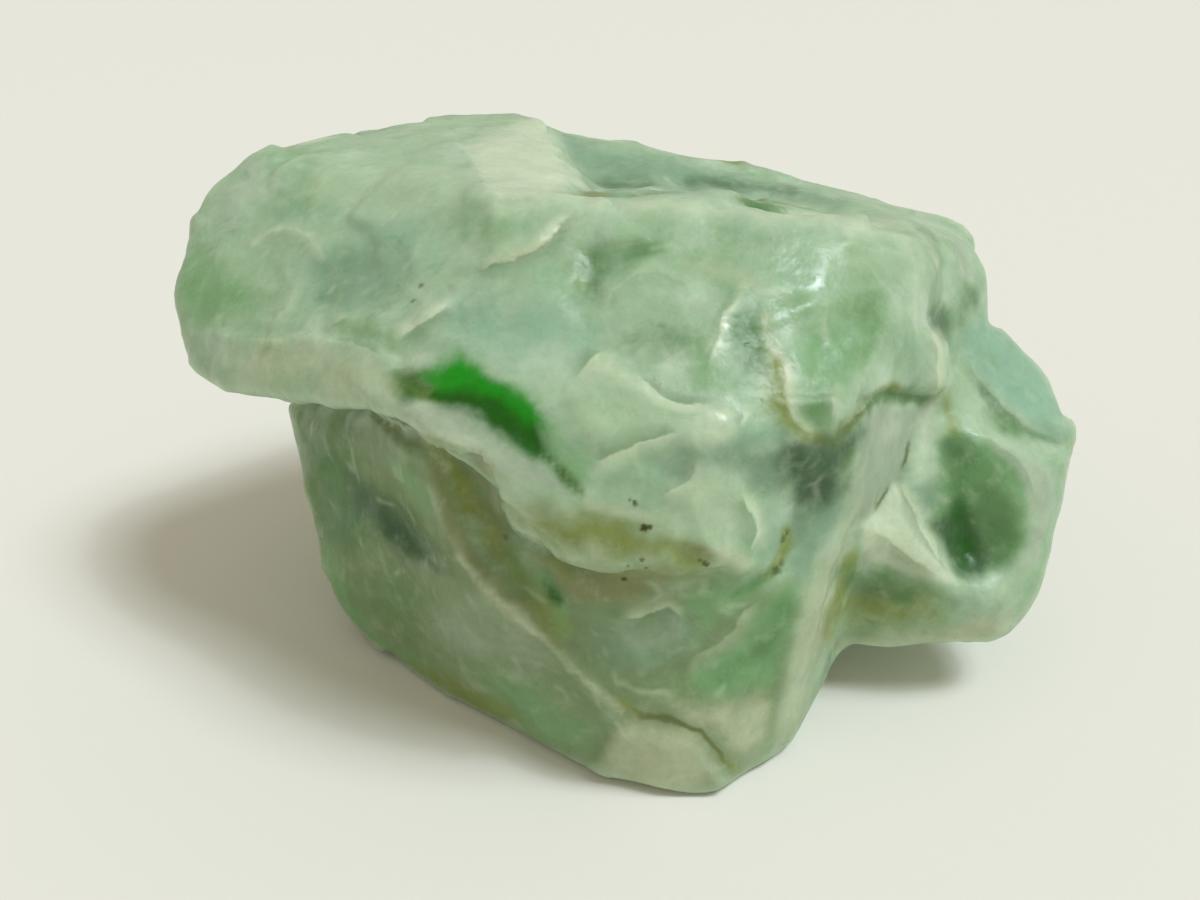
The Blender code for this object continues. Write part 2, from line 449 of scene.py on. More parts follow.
TRUNK_RELIEF = {
    "right corner": line(
        0.16, 0.6, (865, 430), (858, 470), (853, 520), (838, 560), (820, 624), (805, 672)),
    "left twin of the corner": line(
        0.14, 0.5, (830, 540), (809, 574), (796, 628), (779, 715), (768, 756)),
    "wall hollow": area(
        -0.55, 1.5, (372, 488), (402, 500), (441, 545), (440, 572), (405, 558), (378, 530)),
    "slanting ridge": line(
        0.5, 1.0, (378, 420), (430, 468), (446, 512), (470, 560), (494, 588), (550, 636),
        (590, 684), (620, 715)),
    "green pocket": area(-0.22, 0.4, (533, 575), (545, 566), (562, 590), (564, 605), (548, 602)),
    "flake edge": step(0.07, 0.6, (628, 684), (670, 668), (710, 648), (742, 628), (762, 604)),
    "cloud edge": step(
        0.09, 0.5, (684, 626), (674, 612), (654, 608), (646, 616), (614, 616)),
    "dish in the front": line(-0.2, 1.8, (600, 640)),
    "dish in the band": line(-0.22, 1.3, (745, 662)),
    "toe shell": area(
        0.2, 0.5, (622, 720), (634, 718), (655, 721), (686, 731), (706, 747), (714, 768),
        (742, 778), (712, 800), (650, 795), (582, 769), (603, 740)),
    "toe nick": line(-0.08, 0.3, *TOE_NICK),
    "lower wall dish": line(-0.3, 1.8, (400, 620)),
    "upper wall dish": line(-0.25, 1.6, (345, 500)),
    "trough by the ridge": line(
        -0.45, 1.0, (462, 470), (490, 530), (525, 590), (570, 645)),
    "swell under the shelf": line(0.15, 1.4, (590, 590), (660, 598), (760, 592)),
    "wall rib": line(0.14, 0.8, (330, 560), (380, 590), (440, 640), (500, 700), (560, 740)),
}

LOBE_RELIEF = {
    "cleft": line(-0.5, 0.8, (862, 525), (850, 560), (838, 600), (825, 640), (812, 690)),
    "cleft head": line(-0.2, 0.4, (937, 404), (910, 450), (898, 484), (862, 525)),
    "rib": line(0.2, 0.5, (943, 345), (939, 400), (920, 440), (910, 478)),
    "upper facet": area(
        0.16, 0.6, (958, 345), (975, 318), (1003, 320), (1030, 352), (1055, 387), (1075, 427),
        (1062, 444), (1046, 431), (1010, 421), (988, 392), (965, 370)),
    "facet groove": line(-0.26, 0.5, (985, 392), (1006, 414), (1030, 428), (1064, 443)),
    "rim": line(
        0.1, 0.8, (971, 431), (1010, 445), (1036, 460), (1046, 490), (1043, 518), (1024, 566),
        (985, 605), (950, 615)),
    "bowl": area(
        -0.15, 1.6, (944, 450), (985, 442), (1015, 455), (1028, 490), (1022, 545), (998, 576),
        (965, 574), (945, 545), (946, 500)),
    "bowl bump": line(0.14, 0.7, (1008, 496)),
    "bowl streak": line(-0.14, 0.4, (966, 494), (968, 552)),
    "left facets": area(
        0.35, 0.8, (898, 483), (860, 528), (866, 564), (925, 578), (944, 568), (934, 540),
        (914, 512)),
    "facet ridge": line(0.16, 0.5, (868, 524), (890, 542), (925, 568), (950, 588)),
    "foot of the facets": line(-0.2, 0.8, (850, 590), (900, 600), (945, 605)),
}

RELIEF = [
    relief
    for part in (SLAB_RELIEF, BROW_RELIEF, TOP_RELIEF, NOSE_RELIEF, TRUNK_RELIEF, LOBE_RELIEF)
    for relief in part.values()
]


@dataclass(frozen=True)
class Rim:
    """The thin edge of a flake, with painted shade beside it, or a hairline crack.

    Attributes:
        light: How pale the edge is, partly pale stone and partly painted highlight, and how
        strong the painted shade beside it is. A light below zero makes a dark crack.
        spots: Its path. The flake lies on the left of it, and the skin falls on the right.
    """

    light: float
    spots: tuple[Spot, ...]


def rim(light: float, *spots: Spot) -> Rim:
    """A rim along a path."""
    return Rim(light, spots)


# Pale rims are partly pale stone, partly painted highlight, with painted shade on their low side.
RIMS = {
    "rib over the hollow": rim(0.3, (251, 239), (280, 228), (300, 232), (314, 242), (326, 260)),
    "rib left of the hollow": rim(0.3, *RIB_LEFT_OF_HOLLOW),
    "rib under the hollow": rim(0.5, (300, 336), (330, 328), (352, 313)),
    "bright rib": rim(0.7, (398, 344), (422, 320), (449, 298)),
    "bent rib": rim(
        0.7, (462, 274), (490, 265), (512, 258), (541, 246), (556, 231), (580, 208)),
    "bowl's upper rim": rim(
        0.3, (602, 326), (612, 292), (635, 274), (655, 270), (686, 284), (702, 304)),
    "bowl's lower rim": rim(0.3, (694, 340), (668, 362), (636, 362), (612, 346)),
    "bright ridge": rim(0.5, (744, 284), (723, 320), (711, 350), (702, 376)),
    "arch's left edge": rim(
        0.45, (778, 352), (783, 380), (788, 402), (797, 422), (812, 435), (830, 435)),
    "arch's right edge": rim(
        0.35, (822, 436), (843, 427), (860, 409), (872, 397), (891, 388), (903, 374)),
    "arch rib": rim(0.35, *ARCH_RIB),
    "shoulder's fold": rim(0.4, (905, 228), (928, 246), (938, 275), (932, 312)),
    "shell's upper edge": rim(
        0.8, (732, 397), (715, 404), (690, 405), (672, 402), (657, 393), (643, 377), (628, 361),
        (612, 347), (590, 358), (560, 390)),
    "shell's right end": rim(
        0.6, (732, 397), (743, 412), (743, 428), (733, 439), (715, 443), (690, 447)),
    "shell's lower edge": rim(
        0.7, (692, 433), (668, 438), (645, 441), (630, 450), (612, 457), (596, 464), (584, 458)),
    "glassy facet's right edge": rim(0.5, (692, 436), (696, 455), (688, 480), (655, 500)),
    "facets' upper edge": rim(-0.3, (690, 448), (722, 445), (745, 437), (770, 428)),
    "crescent": rim(0.7, (736, 488), (755, 514), (759, 532), (748, 556)),
    "lip's edge": rim(
        0.4, (388, 412), (407, 429), (436, 439), (465, 448), (484, 455), (497, 468), (501, 492)),
    "nose's left edge": rim(
        0.35, (500, 478), (504, 508), (516, 531), (538, 541), (550, 549), (565, 560), (596, 565)),
    "cloud edge": rim(0.6, (612, 615), (638, 617), (652, 610), (668, 606), (686, 622)),
    "flake edge": rim(0.4, (768, 596), (748, 612), (735, 628), (712, 648), (680, 664)),
    "toe edge": rim(
        -0.8, (740, 772), (722, 760), (708, 742), (690, 728), (670, 718), (640, 717), (616, 706)),
    "toe shell's left edge": rim(0.3, (556, 644), (585, 678), (603, 712), (636, 744), (660, 764)),
    "crack by the lobe": rim(-0.7, (932, 402), (912, 436), (905, 462), (890, 488), (862, 524)),
    "rib by the lobe": rim(0.5, (931, 326), (939, 353), (938, 381), (931, 403), (916, 434)),
    "upper facet's edge": rim(
        0.35, (958, 350), (984, 386), (1006, 411), (1037, 432), (1066, 440)),
    "bowl's rim": rim(0.35, (965, 430), (990, 440), (1015, 456), (1034, 480), (1038, 505)),
    "white facet's edge": rim(0.7, (898, 478), (912, 505), (931, 547), (956, 588)),
    "facet ridge": rim(0.5, (864, 520), (890, 542), (925, 568), (954, 592)),
    "band's upper edge": rim(
        0.35, (398, 380), (385, 358), (350, 343), (300, 334), (250, 338), (222, 345)),
}


class Tint(Enum):
    """The stone's tints, in the order in which they are laid over its sage ground."""

    # Dark olive: cloud colour on the hidden sides, and painted shade over the lower body.
    MOSS = "moss"
    SEA = "sea"
    GREY = "grey"
    LEAF = "leaf"
    TAN = "tan"
    OLIVE = "olive"
    SAND = "sand"
    MIST = "mist"
    PALE = "pale"
    DEEP = "deep"
    DARK = "dark"
    CREAM = "cream"
    FOREST = "forest"
    EMERALD = "emerald"


# The tints that are laid last, over veins and edges.
RICH_TINTS = (Tint.FOREST, Tint.EMERALD)


@dataclass(frozen=True)
class Drift:
    """How a tint drifts over the sides that the main view doesn't see.

    Attributes:
        size: The size of its clouds, in mm.
        start: The noise level where they start, which sets how much they cover.
        strength: How strong they are.
    """

    size: float
    start: float
    strength: float

    def cover(self, points: np.ndarray, offset: float) -> np.ndarray:
        """How strongly the tint lies on each point.

        Args:
            points: The points, in mm.
            offset: Where in the noise to read, so that tints differ.

        Returns:
            The strengths, from 0 to 1.
        """
        shift = Vector((offset, -offset, 0.5 * offset))
        flat = points * (1.0, 1.0, DRIFT_FLATNESS) / self.size
        clouds = np.array([noise.fractal(Vector(spot) + shift, *DRIFT_NOISE) for spot in flat])
        return smooth_step(self.start, self.start + DRIFT_BLUR, clouds) * self.strength


DRIFTS = {
    Tint.SEA: Drift(9.0, 0.0, 1.0),
    Tint.GREY: Drift(7.5, 0.05, 1.0),
    Tint.LEAF: Drift(7.0, 0.0, 1.0),
    Tint.DEEP: Drift(8.0, 0.2, 1.0),
    Tint.MOSS: Drift(10.0, 0.0, 0.9),
    Tint.TAN: Drift(8.0, 0.26, 0.9),
    Tint.SAND: Drift(8.0, 0.12, 0.9),
    Tint.OLIVE: Drift(9.0, 0.3, 0.9),
    Tint.PALE: Drift(6.5, 0.05, 1.0),
    Tint.MIST: Drift(8.0, 0.1, 0.9),
    Tint.CREAM: Drift(7.0, 0.22, 1.0),
    Tint.DARK: Drift(9.0, 0.34, 1.0),
    Tint.FOREST: Drift(8.0, 0.45, 0.8),
    Tint.EMERALD: Drift(6.5, 0.62, 0.8),
}


@dataclass(frozen=True)
class Stain:
    """A tint's place on the stone, and how strong it is there."""

    tint: Tint
    strength: float
    mark: Mark


def streak(tint: Tint, strength: float, reach: float, *spots: Spot) -> Stain:
    """A stain along a path, or a blot at a single spot."""
    return Stain(tint, strength, Mark(spots, reach))


def patch(tint: Tint, strength: float, reach: float, *spots: Spot) -> Stain:
    """A stain inside an outline."""
    return Stain(tint, strength, Mark(spots, reach, Shape.AREA))


SLAB_STAINS = {
    "left end": patch(
        Tint.LEAF, 0.92, 1.0, (172, 262), (200, 240), (225, 262), (250, 285), (262, 305),
        (245, 322), (200, 326), (174, 315)),
    "upper slab": patch(
        Tint.LEAF, 0.6, 1.0, (255, 168), (300, 150), (350, 158), (374, 185), (330, 202),
        (280, 202)),
    "sea over the hollow": patch(
        Tint.SEA, 0.7, 0.9, (345, 205), (420, 202), (452, 225), (440, 262), (400, 268),
        (350, 240)),
    "slab hollow": patch(
        Tint.GREY, 0.9, 0.7, (300, 264), (312, 250), (345, 244), (390, 240), (410, 258),
        (404, 290), (388, 305), (352, 314), (320, 312), (300, 300)),
    "hollow's dark spot": streak(Tint.DEEP, 0.4, 0.5, (395, 238), (400, 246)),
    "sea under the rib": patch(
        Tint.SEA, 0.8, 0.9, (450, 290), (520, 298), (580, 300), (602, 330), (590, 355),
        (520, 362), (450, 345), (430, 320)),
    "leaf by the rib": streak(Tint.LEAF, 0.55, 0.7, (470, 225), (498, 226)),
    "leaf under the hollow": streak(Tint.LEAF, 0.6, 0.8, (345, 335), (375, 336), (400, 345)),
    "lower band": patch(
        Tint.SAND, 0.7, 0.9, (225, 350), (250, 342), (300, 340), (350, 348), (392, 362),
        (394, 384), (375, 404), (330, 398), (270, 384), (228, 368)),
    "grey start of the band": streak(Tint.MIST, 0.5, 0.8, (195, 335), (215, 350)),
    "crest": patch(
        Tint.CREAM, 1.4, 0.8, (472, 150), (500, 133), (541, 118), (556, 155), (580, 185),
        (540, 195), (499, 195), (482, 172)),
    "crest's dark edge": streak(Tint.GREY, 0.7, 0.25, (463, 152), (478, 172), (494, 195)),
    "rear ridge": patch(
        Tint.PALE, 0.6, 0.8, (360, 142), (430, 120), (500, 112), (520, 122), (480, 140),
        (400, 150)),
    "grey left shoulder": patch(
        Tint.MIST, 0.55, 0.9, (205, 205), (225, 175), (258, 153), (266, 180), (240, 215),
        (215, 240)),
    "rib over the hollow": streak(
        Tint.CREAM, 0.55, 0.25, (251, 239), (280, 228), (300, 232), (312, 240), (326, 258)),
    "rib's knot": streak(Tint.CREAM, 0.6, 0.35, (308, 238), (318, 248)),
    "rib left of the hollow": streak(Tint.PALE, 0.6, 0.3, *RIB_LEFT_OF_HOLLOW),
    # Partly pale stone, partly a painted highlight along the lit rib.
    "bright rib": streak(Tint.CREAM, 0.6, 0.22, (398, 336), (422, 317), (447, 299)),
    "pale by the bright rib": streak(Tint.PALE, 0.6, 0.5, (400, 345), (430, 325)),
    # Partly pale stone, partly a painted highlight along the lit rib.
    "bent rib": streak(Tint.SAND, 0.9, 0.28, (512, 257), (541, 245), (556, 231), (572, 216)),
    "pale by the bent rib": streak(Tint.PALE, 0.6, 0.6, (565, 222), (590, 214), (582, 236)),
    "third olive dot": streak(Tint.TAN, 0.7, 0.2, (453, 285)),
    "band's white fleck": streak(Tint.CREAM, 0.6, 0.2, (380, 352), (398, 358)),
    "hollow's dark left": streak(Tint.DEEP, 0.28, 0.8, (318, 292), (345, 270), (385, 254)),
    "pale saddle": streak(Tint.PALE, 0.55, 0.8, (420, 232), (470, 196), (500, 208)),
    "upper pale": streak(Tint.PALE, 1.0, 1.2, (330, 178), (380, 190), (440, 186)),
    "pale by the emerald": streak(Tint.PALE, 0.55, 0.6, (395, 372), (408, 350), (425, 336)),
    "green slab": patch(
        Tint.SEA, 0.5, 1.2, (240, 210), (300, 190), (345, 215), (330, 245), (270, 225)),
}

TOP_STAINS = {
    "valley": patch(
        Tint.GREY, 0.85, 0.5, (556, 118), (590, 140), (640, 150), (700, 165), (780, 180),
        (860, 198), (840, 206), (760, 201), (700, 196), (620, 192), (590, 187), (556, 153)),
    "ridge back": streak(Tint.SEA, 0.5, 0.6, (600, 160), (660, 166), (720, 172)),
    # Partly dark stone, partly painted shade in the valley's grooves.
    "valley end": streak(Tint.DARK, 0.6, 0.5, (588, 182), (620, 188), (650, 190)),
    "valley groove": streak(Tint.DARK, 0.5, 0.4, (690, 181), (740, 186), (790, 190)),
    "far shoulder": patch(
        Tint.MIST, 0.6, 0.6, (860, 204), (940, 214), (965, 230), (920, 236), (880, 222)),
    "front edge": streak(
        Tint.PALE, 0.85, 0.6, (500, 204), (590, 199), (653, 203), (750, 213), (800, 219),
        (872, 228), (905, 233)),
    "front edge's light": streak(
        Tint.CREAM, 0.6, 0.45, (560, 198), (653, 202), (750, 211), (872, 226), (905, 232)),
}

BROW_STAINS = {
    "brow": patch(
        Tint.LEAF, 0.45, 1.0, (600, 225), (700, 222), (880, 236), (905, 300), (900, 380),
        (860, 400), (790, 400), (760, 392), (700, 385), (690, 300), (600, 260)),
    "dark hollow": patch(
        Tint.DEEP, 1.1, 0.8, (573, 262), (588, 240), (600, 236), (612, 250), (600, 275),
        (604, 300), (584, 292)),
    "hollow's olive dot": streak(Tint.OLIVE, 0.7, 0.25, (583, 284)),
    "bowl's foot": streak(Tint.DEEP, 0.5, 0.7, (632, 346), (664, 348), (684, 340)),
    "sandy brow": streak(Tint.SAND, 0.45, 0.45, (690, 262), (730, 273), (775, 294)),
    "sea brow": streak(Tint.SEA, 0.65, 0.55, (745, 222), (800, 226), (840, 232)),
    "leaf by the ridge": patch(
        Tint.LEAF, 0.85, 0.8, (690, 352), (745, 350), (752, 395), (706, 400), (684, 380)),
    # Partly pale stone, partly a painted highlight along the ridge's lit crest.
    "bright ridge": streak(Tint.CREAM, 0.55, 0.25, (742, 288), (723, 323), (711, 352)),
    "dark dent": streak(Tint.DEEP, 0.9, 0.8, (742, 322), (748, 340), (752, 356)),
    "slate in the dent": streak(Tint.GREY, 0.7, 0.4, (744, 316)),
    "pale cheek of the arch": patch(
        Tint.PALE, 0.6, 0.4, (776, 316), (800, 322), (800, 352), (780, 352)),
    "arch hollow": patch(
        Tint.LEAF, 1.0, 0.8, (798, 330), (830, 318), (852, 326), (862, 352), (848, 386),
        (812, 392), (800, 365)),
    "arch's right side": patch(
        Tint.LEAF, 0.45, 0.8, (850, 300), (890, 300), (896, 370), (862, 390)),
    "arch foot": patch(
        Tint.DEEP, 1.1, 0.35, (796, 401), (832, 401), (831, 424), (816, 428), (802, 420)),
    "arch edge": streak(
        Tint.OLIVE, 1.1, 0.28, (774, 350), (779, 368), (783, 394), (792, 420), (806, 437),
        (828, 441)),
    "arch edge's halo": streak(
        Tint.OLIVE, 0.6, 0.6, (752, 330), (766, 358), (775, 392), (786, 420)),
    "arch's dark side": streak(
        Tint.OLIVE, 0.85, 0.3, (838, 434), (852, 424), (866, 404), (880, 396), (896, 388)),
    "shoulder": patch(
        Tint.CREAM, 0.55, 0.6, (895, 230), (922, 238), (934, 262), (930, 300), (910, 322),
        (902, 270)),
    "shoulder groove": streak(
        Tint.DEEP, 0.75, 0.28, (922, 229), (934, 248), (940, 266), (939, 291), (933, 312)),
    "shoulder's back": patch(
        Tint.MIST, 0.7, 0.5, (948, 232), (968, 240), (978, 275), (974, 300), (958, 300),
        (952, 262)),
    "olive by the notch": streak(Tint.DEEP, 0.65, 0.6, (955, 322), (964, 308), (972, 294)),
    "notch": patch(
        Tint.DARK, 0.85, 0.4, (929, 320), (946, 306), (950, 330), (944, 350), (932, 344)),
    "groove under the shoulder": streak(
        Tint.DEEP, 0.9, 0.32, (868, 402), (885, 396), (910, 397), (936, 399)),
    "corner below the shoulder": patch(
        Tint.GREY, 0.65, 0.5, (903, 338), (928, 342), (934, 388), (903, 392)),
    "dark hollow's right arm": patch(
        Tint.DEEP, 0.75, 0.6, (618, 256), (640, 242), (668, 246), (655, 262), (628, 272)),
    "shade under the arch": streak(
        Tint.DARK, 0.6, 0.45, (815, 445), (845, 436), (862, 416), (870, 406)),
    "pale rib of the arch": streak(Tint.PALE, 0.7, 0.22, *ARCH_RIB),
    "pale inner edge": streak(Tint.SAND, 0.8, 0.22, (786, 362), (789, 390), (798, 416)),
    "green concave": streak(Tint.DEEP, 0.4, 0.9, (868, 300), (872, 340)),
    "arch edge's pale head": streak(Tint.SAND, 0.7, 0.35, (764, 318), (770, 336), (776, 350)),
    "pale brow right": streak(Tint.PALE, 0.5, 0.9, (800, 248), (850, 256), (890, 268)),
}

NOSE_STAINS = {
    "forest": patch(
        Tint.FOREST, 1.4, 0.42, (430, 383), (460, 376), (482, 380), (500, 389), (518, 401),
        (533, 415), (545, 438), (552, 460), (536, 458), (522, 448), (505, 434), (486, 421),
        (466, 410), (446, 402), (426, 396)),
    "emerald": patch(
        Tint.EMERALD, 1.2, 0.4, (424, 376), (440, 364), (460, 359), (476, 365), (490, 378),
        (505, 384), (520, 392), (533, 404), (546, 430), (528, 422), (509, 411), (493, 400),
        (475, 392), (454, 388), (437, 387)),
    "emerald's tail": streak(
        Tint.FOREST, 0.72, 0.3, (538, 444), (552, 464), (564, 478), (578, 490)),
    "leaf beside the tail": patch(
        Tint.LEAF, 1.1, 0.9, (536, 404), (558, 422), (570, 450), (588, 480), (575, 486),
        (556, 468), (545, 445)),
    "lip": patch(
        Tint.MIST, 1.2, 0.3, (391, 413), (405, 402), (425, 399), (450, 406), (475, 419),
        (500, 436), (528, 457), (556, 482), (566, 494), (548, 494), (520, 482), (500, 472),
        (490, 460), (470, 450), (445, 442), (425, 436), (405, 429)),
    "lip's foot": patch(
        Tint.PALE, 0.75, 0.35, (502, 470), (545, 490), (600, 482), (632, 474), (642, 500),
        (600, 500), (540, 499), (506, 495)),
    # Partly the stone's tan, partly painted shade under the lip's overhang.
    "under the lip": patch(
        Tint.TAN, 1.0, 0.35, (368, 413), (393, 420), (410, 434), (436, 443), (465, 452),
        (482, 458), (496, 474), (500, 505), (515, 535), (498, 540), (470, 500), (450, 470),
        (420, 452), (390, 434)),
    "sand under the lip": streak(
        Tint.SAND, 0.65, 0.22, (372, 414), (400, 428), (425, 444), (445, 466)),
    "second sandy streak": streak(Tint.SAND, 0.5, 0.25, (482, 458), (493, 482), (500, 512)),
    "olive between": streak(Tint.OLIVE, 0.9, 0.4, (430, 442), (450, 462), (462, 480), (470, 506)),
    "shelf": patch(
        Tint.OLIVE, 0.9, 0.8, (508, 508), (540, 506), (592, 508), (630, 518), (664, 533),
        (700, 545), (722, 560), (702, 570), (661, 571), (600, 564), (565, 558), (545, 542),
        (516, 528)),
    "shelf's tan core": patch(
        Tint.TAN, 0.7, 0.6, (560, 520), (620, 524), (640, 545), (620, 562), (580, 560),
        (552, 544)),
    "shelf's sandy brink": streak(Tint.SAND, 0.8, 0.28, (592, 504), (625, 512), (648, 518)),
    "brown pocket": streak(Tint.TAN, 0.9, 0.22, (684, 548), (704, 549), (712, 556)),
    "sand beside the pocket": streak(Tint.SAND, 0.85, 0.35, (718, 553), (742, 562)),
    "broken shell": patch(
        Tint.PALE, 0.75, 0.4, (562, 392), (590, 360), (612, 348), (628, 362), (645, 380),
        (660, 396), (700, 406), (720, 420), (700, 438), (660, 440), (640, 450), (600, 462),
        (575, 430)),
    "shell's leaf heart": patch(
        Tint.LEAF, 0.75, 0.8, (590, 400), (620, 396), (640, 412), (632, 436), (604, 440),
        (586, 424)),
    "shell's right end": patch(
        Tint.CREAM, 0.6, 0.25, (696, 410), (716, 405), (731, 399), (740, 412), (741, 427),
        (735, 437), (700, 440), (690, 428)),
    "glassy facet": patch(
        Tint.GREY, 0.6, 0.25, (640, 462), (680, 441), (695, 462), (682, 482), (650, 481)),
    "sea facets": patch(
        Tint.GREY, 0.95, 0.4, (694, 452), (720, 447), (745, 428), (790, 420), (796, 455),
        (776, 490), (762, 492), (745, 468), (712, 466)),
    "pale facet": patch(
        Tint.PALE, 0.9, 0.5, (668, 490), (700, 472), (736, 480), (756, 512), (756, 538),
        (738, 548), (700, 538), (664, 522)),
    "sea beside the crescent": patch(
        Tint.SEA, 0.6, 0.3, (765, 500), (790, 490), (790, 530), (770, 552), (763, 530)),
    # Partly dark stone, partly painted shade in the crevice.
    "crevice": patch(
        Tint.DARK, 1.1, 0.6, (780, 442), (804, 440), (826, 446), (850, 432), (866, 412),
        (866, 430), (852, 460), (846, 486), (830, 502), (798, 505), (784, 476)),
    "crevice's grey foot": patch(
        Tint.GREY, 0.95, 0.7, (795, 495), (846, 478), (846, 530), (812, 572), (775, 577),
        (790, 530)),
    "crevice's olive head": streak(Tint.OLIVE, 0.7, 0.3, (826, 446), (850, 448), (842, 475)),
    "crack": streak(Tint.DEEP, 0.7, 0.25, (733, 596), (755, 588), (777, 571)),
    "crack's olive head": streak(
        Tint.OLIVE, 0.8, 0.26, (768, 576), (778, 566), (788, 545), (786, 534)),
    "tail's olive": streak(Tint.OLIVE, 0.6, 0.25, (548, 460), (564, 477), (580, 490)),
    "emerald's olive start": patch(
        Tint.FOREST, 0.95, 0.5, (397, 372), (430, 370), (452, 384), (446, 400), (420, 399),
        (400, 404)),
    "olive in the start": streak(Tint.OLIVE, 0.9, 0.6, (404, 386), (440, 392)),
    "pale beside the emerald": patch(
        Tint.PALE, 0.7, 0.8, (560, 370), (600, 372), (610, 400), (590, 440), (572, 420),
        (552, 392)),
    "lip's white tip": streak(Tint.CREAM, 0.25, 0.3, (400, 412), (425, 418), (455, 428)),
    "shelf's olive wedge": patch(
        Tint.OLIVE, 0.85, 0.35, (640, 528), (664, 534), (689, 540), (710, 551), (722, 561),
        (705, 570), (677, 571), (652, 560)),
    "shell's cream band": patch(
        Tint.CREAM, 0.7, 0.4, (610, 352), (626, 366), (646, 384), (664, 400), (640, 396),
        (612, 380), (590, 372)),
    "shell's foot": streak(Tint.PALE, 0.6, 0.5, (600, 454), (622, 446), (650, 434)),
    "pale facet's heart": streak(Tint.CREAM, 0.4, 0.9, (700, 500), (725, 520)),
    # Partly dark stone, partly painted shade in the crevice.
    "crevice's dark heart": streak(Tint.DARK, 0.7, 0.5, (800, 464), (802, 486)),
    "lip's grey": streak(Tint.DEEP, 0.35, 0.6, (420, 412), (450, 418), (490, 438), (530, 466)),
    "shelf's underside": streak(Tint.TAN, 1.0, 0.5, (585, 572), (620, 578), (660, 577)),
}

